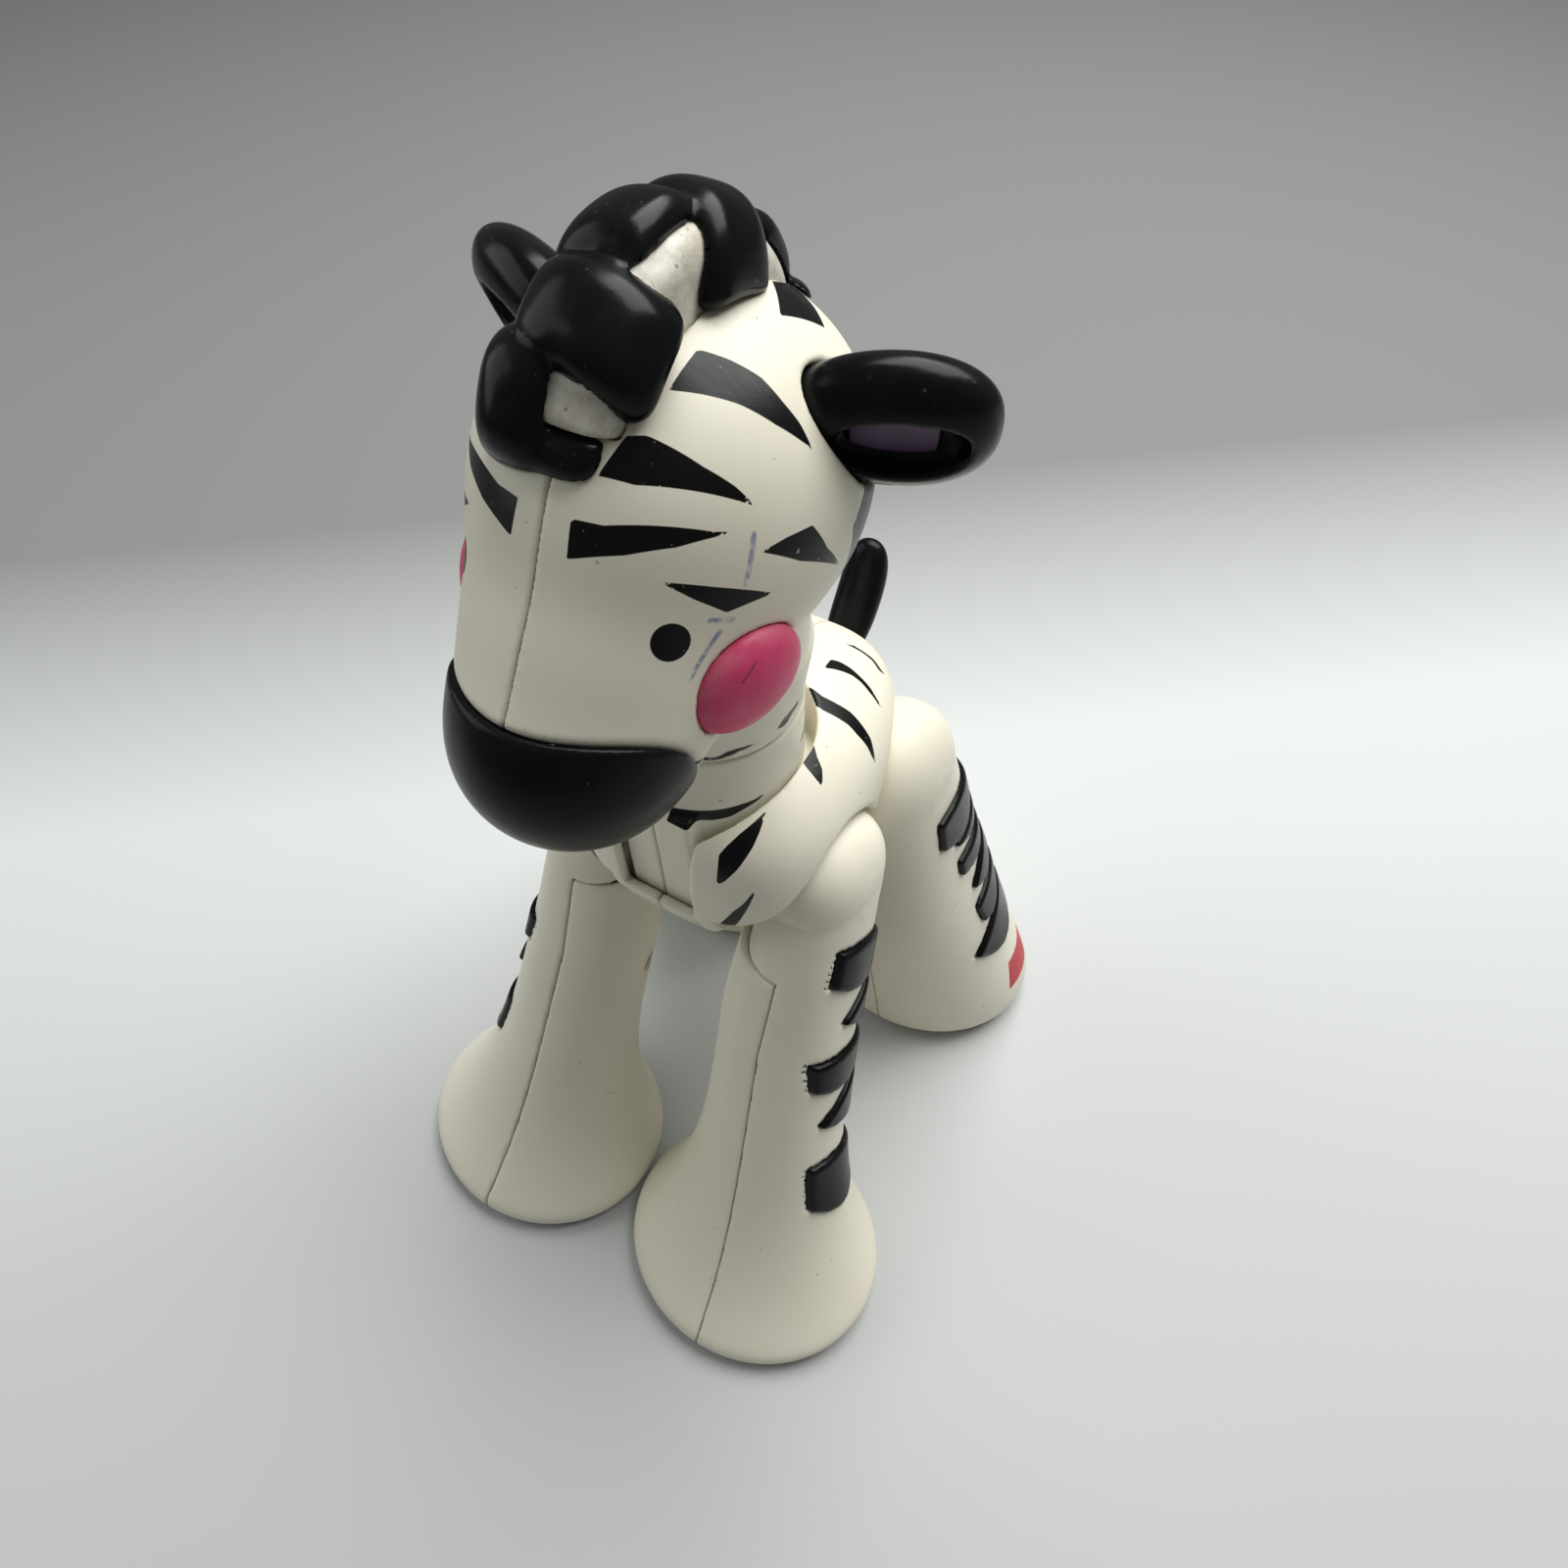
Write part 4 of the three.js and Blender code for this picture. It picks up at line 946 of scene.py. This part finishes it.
def neck_ink(points):
    """Distance to the neck's stripes, given by degrees from the front and by height."""
    turn = np.degrees(np.arctan2(np.abs(points[:, 0]), NECK_Y - points[:, 1]))
    around = math.radians(1) * NECK_R
    outlines = [[(a * around, b) for a, b in corners] for corners in NECK_STRIPES]
    stripes = (polygon(outline, turn * around, points[:, 2]) for outline in outlines)
    skin = np.minimum(*neck_skin(0, *points.T))
    seen = (skin > OUTER_SKIN) & (points[:, 2] < NECK_TOP_Z - 0.2)
    return np.where(seen, nearest_of(stripes, NO_MARK), NO_MARK)


left_neck = form(neck_field, (-0.5, -16.8, 73.2), (13.8, 14.2, 117.4), 0.45)
for side_name, shape in both_sides(left_neck):
    marks = {"ink": neck_ink(shape[0]), "seam": seam_marks(shape[0])}
    piece(f"neck_{side_name}_skin", shape, "neck", "cream_plastic", [f"neck_{side_name}_shell"], marks)


# Head

HEAD_LUMPS = [
    ((0, -1.4, 150), (20.6, 23.2, 20)),
    ((0, -14.6, 139.5), (15.6, 17, 15)),
    ((0, -24.6, 131.4), (13.2, 13.6, 12.6)),
    ((0, 0.2, 127), (13.4, 13.4, 16)),
]
HEAD_BLEND = 9.0
HEAD_FLOOR_R = 16.3
HEAD_BORE_R = 10.8
NECK_COVER_R = 14.7
STUB_ROOM_R = 7.55
BELOW_Z = 80
MUZZLE_TOP_Z = 142.9
MUZZLE_FRONT_Y = -35.1
MUZZLE_BOW = 0.036
MUZZLE_SLANT = 0.5
MOUTH_Y = -33.9
MOUTH_Z = 120.6
MOUTH_R = 1.5
MOUTH_WIDE = 1.25


def head_skin(x, y, z):
    """Four ovoids melted into one skin."""
    total = 0
    for (ax, ay, az), (hx, hy, hz) in HEAD_LUMPS:
        px, py, pz = x - ax, y - ay, z - az
        k0 = np.sqrt((px / hx) ** 2 + (py / hy) ** 2 + (pz / hz) ** 2) + 1e-6
        k1 = np.sqrt((px / hx**2) ** 2 + (py / hy**2) ** 2 + (pz / hz**2) ** 2) + 1e-6
        total = total + np.exp(np.clip(-k0 * (k0 - 1) / k1 * 4 / HEAD_BLEND, -60, 60))
    return -np.log(total) * HEAD_BLEND / 4


def muzzle_sheet(x, y, z):
    """The bowed sheet along which the muzzle meets the head's shells."""
    bow = y - (MUZZLE_FRONT_Y + MUZZLE_BOW * x * x + MUZZLE_SLANT * (MUZZLE_TOP_Z - z))
    return bow / np.sqrt(1 + MUZZLE_SLANT**2 + (2 * MUZZLE_BOW * x) ** 2)


def basis(along, out):
    """Three unit axes: along, across, and the nearest to out that fits them."""
    along = unit(along)
    out = unit(out - along * (out @ along))
    return along, np.cross(out, along), out


EAR_ROOT = np.array((11.4, 0.8, 159.5))
EAR_TIP = np.array((31.0, 10.0, 158.9))
EAR_DROP = -0.3
EAR_AXES = basis(EAR_TIP - EAR_ROOT, (0.37, -0.86, -0.31))
EAR_HALF = np.linalg.norm(EAR_TIP - EAR_ROOT) / 2
EAR_WIDE = 8.3
EAR_THICK = 4.8
CUP_AT = (0.9, 0.2, 3.5)
CUP_HALF = (6.8, 3.7, 3.6)


def local(axes, origin, x, y, z):
    """A place measured from an origin along three axes."""
    px, py, pz = x - origin[0], y - origin[1], z - origin[2]
    return [px * a[0] + py * a[1] + pz * a[2] for a in axes]


def ear_place(x, y, z):
    return local(EAR_AXES, (EAR_ROOT + EAR_TIP) / 2, x, y, z)


def ear_skin(x, y, z):
    s, b, c = ear_place(x, y, z)
    leaf = 0.86 + 0.14 * smooth((s + EAR_HALF) / (1.2 * EAR_HALF))
    return capped_oval(b - EAR_DROP, c, s / EAR_HALF, EAR_WIDE * leaf, EAR_THICK, EAR_HALF, 2.0, 2.4)


def ear_cup(x, y, z):
    s, b, c = (v - middle for v, middle in zip(ear_place(x, y, z), CUP_AT))
    long, wide, deep = CUP_HALF
    return capped_oval(b, c, s / long, wide, deep, long, 2.0, 2.2)


CHEEK_OUT = unit(unit(slope_of(head_skin, *CHEEK, e=0.05)) + CHEEK_LEAN)
CHEEK_ALONG = np.array((0, 0.75, 0.66))
CHEEK_AXES = basis(CHEEK_ALONG - CHEEK_OUT * (CHEEK_ALONG @ CHEEK_OUT), CHEEK_OUT)
CHEEK_CENTRE = np.array(CHEEK) - CHEEK_OUT * (float(head_skin(*CHEEK)) + 0.2)


def cheek_skin(x, y, z):
    a, b, c = local(CHEEK_AXES, CHEEK_CENTRE, x, y, z)
    return capped_oval(a, b, c / CHEEK_HALF[2], *CHEEK_HALF, 2.0, 2.0)


def ridge_place(y, z):
    """Distance from the ridge's centre, and the angle from the rear over the top."""
    dy, dz = y - RIDGE[0], z - RIDGE[1]
    return np.hypot(dy, dz), np.degrees(np.arctan2(dz, dy))


CORE_ANGLES = (16.0, 152.0)
CORE_LOW = 9.5
CORE_TOP = 19.2
CORE_HALF_X = 4.9


def ridge_span(reach, angle, rear, front):
    """Distance along the ridge to the stretch between two angles."""
    return (np.abs(angle - (front + rear) / 2) - (front - rear) / 2) * reach / DEGREES


def core_skin(x, y, z):
    """A fin along the ridge, lower towards its rear end and rounded across its top."""
    reach, angle = ridge_place(y, z)
    crown = 1.6 * np.minimum(np.abs(x) / CORE_HALF_X, 1.2) ** 3
    arched = CORE_TOP - 1.4 * smooth((30 - angle) / 40) - crown
    bar = both(np.abs(x) - CORE_HALF_X, np.maximum(reach - arched, CORE_LOW - reach), 1.6)
    return both(bar, ridge_span(reach, angle, *CORE_ANGLES), 0.8)


def tube_z(radius, x, y, z, low, high):
    return np.maximum(np.hypot(x, y - NECK_Y) - radius, np.maximum(low - z, z - high))


def head_outside(x, y, z):
    """The head's skin with the upright rim that stands round the top of the neck."""
    return either(head_skin(x, y, z), tube_z(NECK_R, x, y, z, HEAD_RIM_Z - 3, HEAD_RIM_Z + 9), 4.0)


def head_field(x, y, z):
    skin = head_skin(x, y, z)
    floor_z = HEAD_RIM_Z + 2
    floor = tube_z(HEAD_FLOOR_R, x, y, z, BELOW_Z, floor_z)
    hollow = np.minimum(np.maximum(skin + WALL, -floor), tube_z(HEAD_BORE_R, x, y, z, floor_z, 132))
    cuts = [
        (hollow, 0.3),
        (tube_z(NECK_COVER_R, x, y, z, BELOW_Z, HEAD_RIM_Z), 0.4),
        (tube_z(STUB_ROOM_R, x, y, z, BELOW_Z, 125), 0.2),
        (muzzle_sheet(x, y, z) - FIT, 0.5),
        (core_skin(x, y, z) - FIT, 0.3),
        (ear_skin(x, y, z) - SEAT, 0.7),
        (cheek_skin(x, y, z) - FIT, 0.35),
    ]
    shell = head_outside(x, y, z)
    for cut, radius in cuts:
        shell = without(shell, cut, radius)
    return left_half(shell, x)


def muzzle_field(x, y, z):
    skin = head_skin(x, y, z)
    shell = both(skin - 0.45, muzzle_sheet(x, y, z), 1.3)
    shell = without(shell, skin + WALL + PRESS_GAP, 0.3)
    mouth = np.sqrt((x / MOUTH_WIDE) ** 2 + (y - MOUTH_Y) ** 2 + (z - MOUTH_Z) ** 2) - MOUTH_R
    return without(shell, mouth, 0.6)


# Corners as azimuth from the front and elevation, in degrees, seen from the head's centre
HEAD_STRIPES = [
    [(57.0, 75.3), (32.3, 70.1), (52.0, 66.5), (69.4, 62.1), (91.0, 49.2), (88.7, 55.1), (83.2, 62.1),
     (78.1, 67.7), (69.5, 73.2)],
    [(16.8, 62.0), (15.3, 53.0), (40.7, 53.7), (61.1, 51.9), (81.7, 48.0), (75.0, 51.0), (54.5, 58.1),
     (33.0, 60.6)],
    [(104.3, 35.8), (95.8, 38.8), (86.8, 40.5), (98.1, 30.8), (114.8, 15.6), (107.9, 26.8)],
    [(51.4, 46.0), (62.4, 38.4), (72.0, 30.7), (80.3, 29.7), (88.5, 28.0), (70.4, 39.1)],
    [(131.1, 71.9), (116.5, 74.4), (100.7, 75.4), (107.6, 69.0), (111.0, 62.9), (112.4, 55.4), (115.0, 46.0),
     (117.8, 50.7), (120.1, 55.5), (124.2, 60.5), (127.4, 66.3)],
    [(119.0, 23.0), (135.0, 30.0), (150.0, 24.0), (138.0, 12.0), (124.0, 0.0), (120.0, 8.0)],
    [(50.5, -27.5), (53.5, -27.8), (57.5, -30.0), (57.0, -33.0), (52.0, -30.5)],
    [(92.0, -78.0), (102.7, -73.0), (106.8, -69.3), (109.9, -67.0), (114.2, -64.3), (120.5, -60.9),
     (116.0, -63.6), (111.3, -67.0), (106.6, -70.7), (100.6, -75.0), (92.0, -80.0)],
    [(124.9, -58.0), (127.4, -55.0), (130.5, -53.0), (135.5, -50.6), (136.6, -51.9), (132.7, -53.8),
     (129.4, -56.5)],
    [(150.0, 55.0), (166.0, 50.0), (170.0, 40.0), (152.0, 44.0)],
]


def ray(azimuth, elevation):
    a, e = math.radians(azimuth), math.radians(elevation)
    return math.sin(a) * math.cos(e), -math.cos(a) * math.cos(e), math.sin(e)


def on_head(azimuth, elevation):
    """The point of the head's skin that lies in a direction from its centre."""
    way = np.array(ray(azimuth, elevation))
    reach = np.linspace(5, 50, 901)
    at = np.array(HEAD_CENTRE)[:, None] + way[:, None] * reach
    first = np.argmax(head_skin(*at) > 0)
    return at[:, first]


EYE = on_head(*EYE_AT)
PEN_STROKES = [
    [(86.7, 45.0), (83.4, 40.8), (79.9, 35.4)],
    [(68.9, 25.6), (61.7, 20.0), (55.1, 13.1)],
    [(66.0, 30.5), (73.9, 27.4)],
]
CHEEK_SCRATCH = [on_head(*end) + CHEEK_OUT * 2.0 for end in ((70.0, 8.5), (76.5, 13.5))]


def head_marks(points):
    x, y, z = points.T
    stripes = [[ray(*corner) for corner in stripe] for stripe in HEAD_STRIPES]
    eye = np.sqrt((np.abs(x) - EYE[0]) ** 2 + (y - EYE[1]) ** 2 + (z - EYE[2]) ** 2) - EYE_R
    inner = (head_outside(x, y, z) < -0.5) | (z < HEAD_RIM_Z + 0.2)
    ink = np.where(inner, NO_MARK, np.minimum(printed(stripes, HEAD_CENTRE, points), eye))
    lines = ([on_head(*end) for end in ends] for ends in PEN_STROKES)
    pen = nearest_of((stroke(line, points) for line in lines), NO_MARK)
    return {"ink": ink, "seam": seam_marks(points, HEAD_RIM_Z + 1), "pen": pen}


left_head = form(head_field, (-0.5, -41, 112), (22.2, 23, 171.4), 0.45)
for side_name, shape in both_sides(left_head):
    marks = head_marks(shape[0])
    piece(f"head_{side_name}_skin", shape, "head", "cream_plastic", [f"head_{side_name}_shell"], marks)

muzzle_shape = form(muzzle_field, (-15.5, -40, 117), (15.5, -18, 146), 0.4)
piece("muzzle_skin", muzzle_shape, "head", "black_plastic", ["muzzle"])


def ear_field(x, y, z):
    return without(ear_skin(x, y, z), ear_cup(x, y, z), 0.9)


def ear_paint_field(x, y, z):
    s, _, c = ear_place(x, y, z)
    return both(ear_cup(x, y, z) + 0.1, np.maximum(c - 1.8, np.abs(s - 0.4) - 4.4), 0.3)


left_ear = form(ear_field, (8, -8, 149), (34, 17, 170), 0.4)
left_paint = form(ear_paint_field, (12, -8, 150), (33, 14, 168), 0.3)
left_cheek = form(cheek_skin, (12, -28, 128), (24, -8, 149), 0.35)
for (side_name, ear), (_, paint), (_, cheek) in zip(*map(both_sides, (left_ear, left_paint, left_cheek))):
    piece(f"ear_{side_name}_skin", ear, "head", "black_rubber", [f"ear_{side_name}"])
    piece(f"ear_paint_{side_name}", paint, "head", "purple_paint", [f"ear_inner_{side_name}"])
    x, y, z = cheek[0].T
    a, b, _ = local(CHEEK_AXES, CHEEK_CENTRE, np.abs(x), y, z)
    marks = {"seam": -oval(a, b, *CHEEK_HALF[:2]), "pen": stroke(CHEEK_SCRATCH, cheek[0])}
    piece(f"cheek_{side_name}_skin", cheek, "head", "pink_plastic", [f"cheek_{side_name}"], marks)


# Mane: locks cross the ridge and fall by turns to one side and the other. Angles are degrees over the
# ridge from the rear, and start, wide, middle, half, top and low are millimetres.

LOCKS = [
    dict(angle=149, side=-1, lean=0, start=-0.4, wide=7.2, middle=4.2, half=5.8, top=21.2, low=12.0),
    dict(angle=123, side=1, lean=6, start=-8.0, wide=6.4, low=14.8),
    dict(angle=91, side=-1, lean=3, start=-2.9, wide=6.9, low=11.0),
    dict(angle=62, side=1, lean=12, start=-8.0, wide=6.6, half=7.6, low=12.4),
    dict(angle=33, side=-1, lean=6, start=-4.3, wide=6.6, low=11.0),
    dict(angle=2, side=1, lean=11, start=-8.0, wide=6.2, low=12.5),
]
ARCH_LOW = 10.8
ARCH_TOP = 21.4
ARCH_HALF = 8.6
MANE_END = 13.0
MANE_FIT = 0.12
FRINGE_HALF = (7.0, 3.3, 5.2)
FRINGE_AT = (-2.2, 160.2, 14.6)
SPINE_ANGLES = (-8, 132)
SPINE_HALF_X = 2.3
SPINE_TOP = 20.0


def lock_skin(lock, x, y, z):
    """A pillowed lobe that arches over the ridge and hangs down on one side."""
    across = lock["side"] * x
    reach, angle = ridge_place(y, z)
    at = lock["angle"] + lock["lean"] * np.maximum(0, across) / 10
    beside = (angle - at) * reach / DEGREES / lock["wide"]
    half = lock.get("half", ARCH_HALF), lock.get("top", ARCH_TOP) - ARCH_LOW
    middle = lock.get("middle", 0)
    lobe = capped_oval(across - middle, reach - ARCH_LOW, beside, *half, lock["wide"], 2.5, 3.6)
    lobe = both(lobe, lock["start"] - across, 2.6)
    return both(lobe, lock["low"] - reach, 2.2)


def fringe_skin(x, y, z):
    """The short front end that curls from the forelock across the forehead."""
    reach, angle = ridge_place(y, z)
    middle_x, at, rise = FRINGE_AT
    long, wide, thick = FRINGE_HALF
    beside = (angle - at) * reach / DEGREES
    return capped_oval(beside, reach - rise, (x - middle_x) / long, wide, thick, long, 2.4, 3.6)


def spine_skin(x, y, z):
    """The strip along the ridge that ties the locks together."""
    reach, angle = ridge_place(y, z)
    strip = both(np.abs(x) - SPINE_HALF_X, reach - SPINE_TOP, 1.6)
    return both(strip, ridge_span(reach, angle, *SPINE_ANGLES), 1.2)


def mane_field(x, y, z):
    mane = either(spine_skin(x, y, z), fringe_skin(x, y, z), 0.5)
    for lock in LOCKS:
        mane = either(mane, lock_skin(lock, x, y, z), 0.5)
    reach, angle = ridge_place(y, z)
    mane = both(mane, (MANE_END - angle) * reach / DEGREES, 1.8)
    mane = without(mane, core_skin(x, y, z) - MANE_FIT, 0.3)
    return without(mane, head_skin(x, y, z) - MANE_FIT, 0.4)


piece("mane_skin", form(mane_field, (-12, -30, 150), (12, 22, 179.6), 0.4), "head", "black_rubber", ["mane"])
core_shape = form(core_skin, (-6, -23, 154), (6, 19, 178), 0.4)
piece("mane_core_skin", core_shape, "head", "cream_plastic", ["mane_core"], material=CORE_FINISH)


# Hardware kept from the CAD: axles, click wheels and leaves, screws, the bead drum and the head retainer

BEAD_COLOURS = {"bead_1": (0.62, 0.06, 0.03), "bead_2": (0.76, 0.46, 0.03), "bead_3": (0.05, 0.20, 0.55)}
for name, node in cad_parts.items():
    if name in BEAD_COLOURS:
        finish = plain_finish(name + "_plastic", BEAD_COLOURS[name], 0.3)
    elif "axle" in name or "screw" in name or "leaf" in name:
        finish = FINISHES["steel"]
    elif "click_wheel" in name or "drum" in name or "retainer" in name:
        finish = FINISHES["click_plastic"]
    else:
        continue
    node.data.materials.clear()
    node.data.materials.append(finish)


# Stage: a pale floor with painted light and shade, soft lamps and the camera

turn, roll = math.radians(CAMERA_AZIMUTH), math.radians(CAMERA_ROLL)
ASIDE = (math.cos(turn), math.sin(turn), 0)
AWAY = (-math.sin(turn), math.cos(turn), 0)
ROOM_TINT = (0.97, 1.0, 0.98, 1)
ROOM_STRENGTH = 0.155
FLOOR_EDGE = 3.0
# The floor's colours are painted light and shade: darker near the camera, a painted lit band round the toy,
# painted shade far behind it
FLOOR_NEAR = (0.48, 0.485, 0.49)
FLOOR_PAINTED_LIGHT = (0.62, 0.64, 0.635)
FLOOR_PAINTED_SHADE = (0.24, 0.245, 0.24)


def floor_finish():
    """A pale sheet with painted light and shade: a painted band of light round the toy, darker towards the
    camera, and painted shade past a soft line behind the toy, as on a curved backdrop.
    """
    f = Finish("pale_floor_painted_light", Roughness=0.75, Specular_IOR_Level=0.2)
    along, across = (
        f.node("VectorMath", {"operation": "DOT_PRODUCT"}, {0: f.place(), 1: way}, 1) for way in (AWAY, ASIDE)
    )
    # Painted light: a lighter band round the toy
    colour = f.mix(along.over(-0.14, 0.05), FLOOR_NEAR, FLOOR_PAINTED_LIGHT)
    # Painted shade past a soft line behind the toy
    colour = f.mix((along - 0.12 * across).over(0.075, 0.185), colour, FLOOR_PAINTED_SHADE)
    f.feed(Base_Color=colour)
    return f.material


floor_mesh = bpy.data.meshes.new("floor")
corners = [(a * FLOOR_EDGE, b * FLOOR_EDGE, 0) for a, b in ((-1, -1), (1, -1), (1, 1), (-1, 1))]
floor_mesh.from_pydata(corners, [], [(0, 1, 2, 3)])
floor = added("floor", floor_mesh)
floor_mesh.materials.append(floor_finish())

world = bpy.data.worlds.new("soft_room")
bpy.context.scene.world = world
world.use_nodes = True
background = world.node_tree.nodes["Background"]
background.inputs["Color"].default_value = ROOM_TINT
background.inputs["Strength"].default_value = ROOM_STRENGTH


def lamp(name, place, aim, size, power, colour):
    light = bpy.data.lights.new(name, "AREA")
    light.shape = "RECTANGLE"
    light.size, light.size_y = size
    light.energy = power
    light.color = colour
    made = added(name, light)
    made.location = place
    made.rotation_euler = (Vector(aim) - Vector(place)).to_track_quat("-Z", "Y").to_euler()


lamp("window_lamp", (0.08, 0.36, 0.76), (0, 0, 0.08), (0.72, 0.52), 9.4, (1.0, 1.0, 0.985))
lamp("fill_lamp", (-0.55, -0.20, 0.42), (0, 0, 0.10), (0.5, 0.5), 1.2, (0.97, 1.0, 0.99))

back = np.array(ray(CAMERA_AZIMUTH, CAMERA_ELEVATION))
level = np.array(ASIDE)
rise = np.cross(back, level)
right = level * math.cos(roll) + rise * math.sin(roll)
up = rise * math.cos(roll) - level * math.sin(roll)
place = (np.array(CAMERA_AIM) + CAMERA_DISTANCE * back) * MM

camera_data = bpy.data.cameras.new("camera")
camera_data.sensor_width = SENSOR
camera_data.lens = FOCAL_PIXELS * SENSOR / IMAGE_PIXELS
camera_data.clip_start = 0.01
camera = added("camera", camera_data)
rows = np.stack([right, up, back, place], 1).tolist()
camera.matrix_world = Matrix([*rows, (0, 0, 0, 1)])
bpy.context.scene.camera = camera

bpy.context.scene.view_settings.view_transform = "Standard"
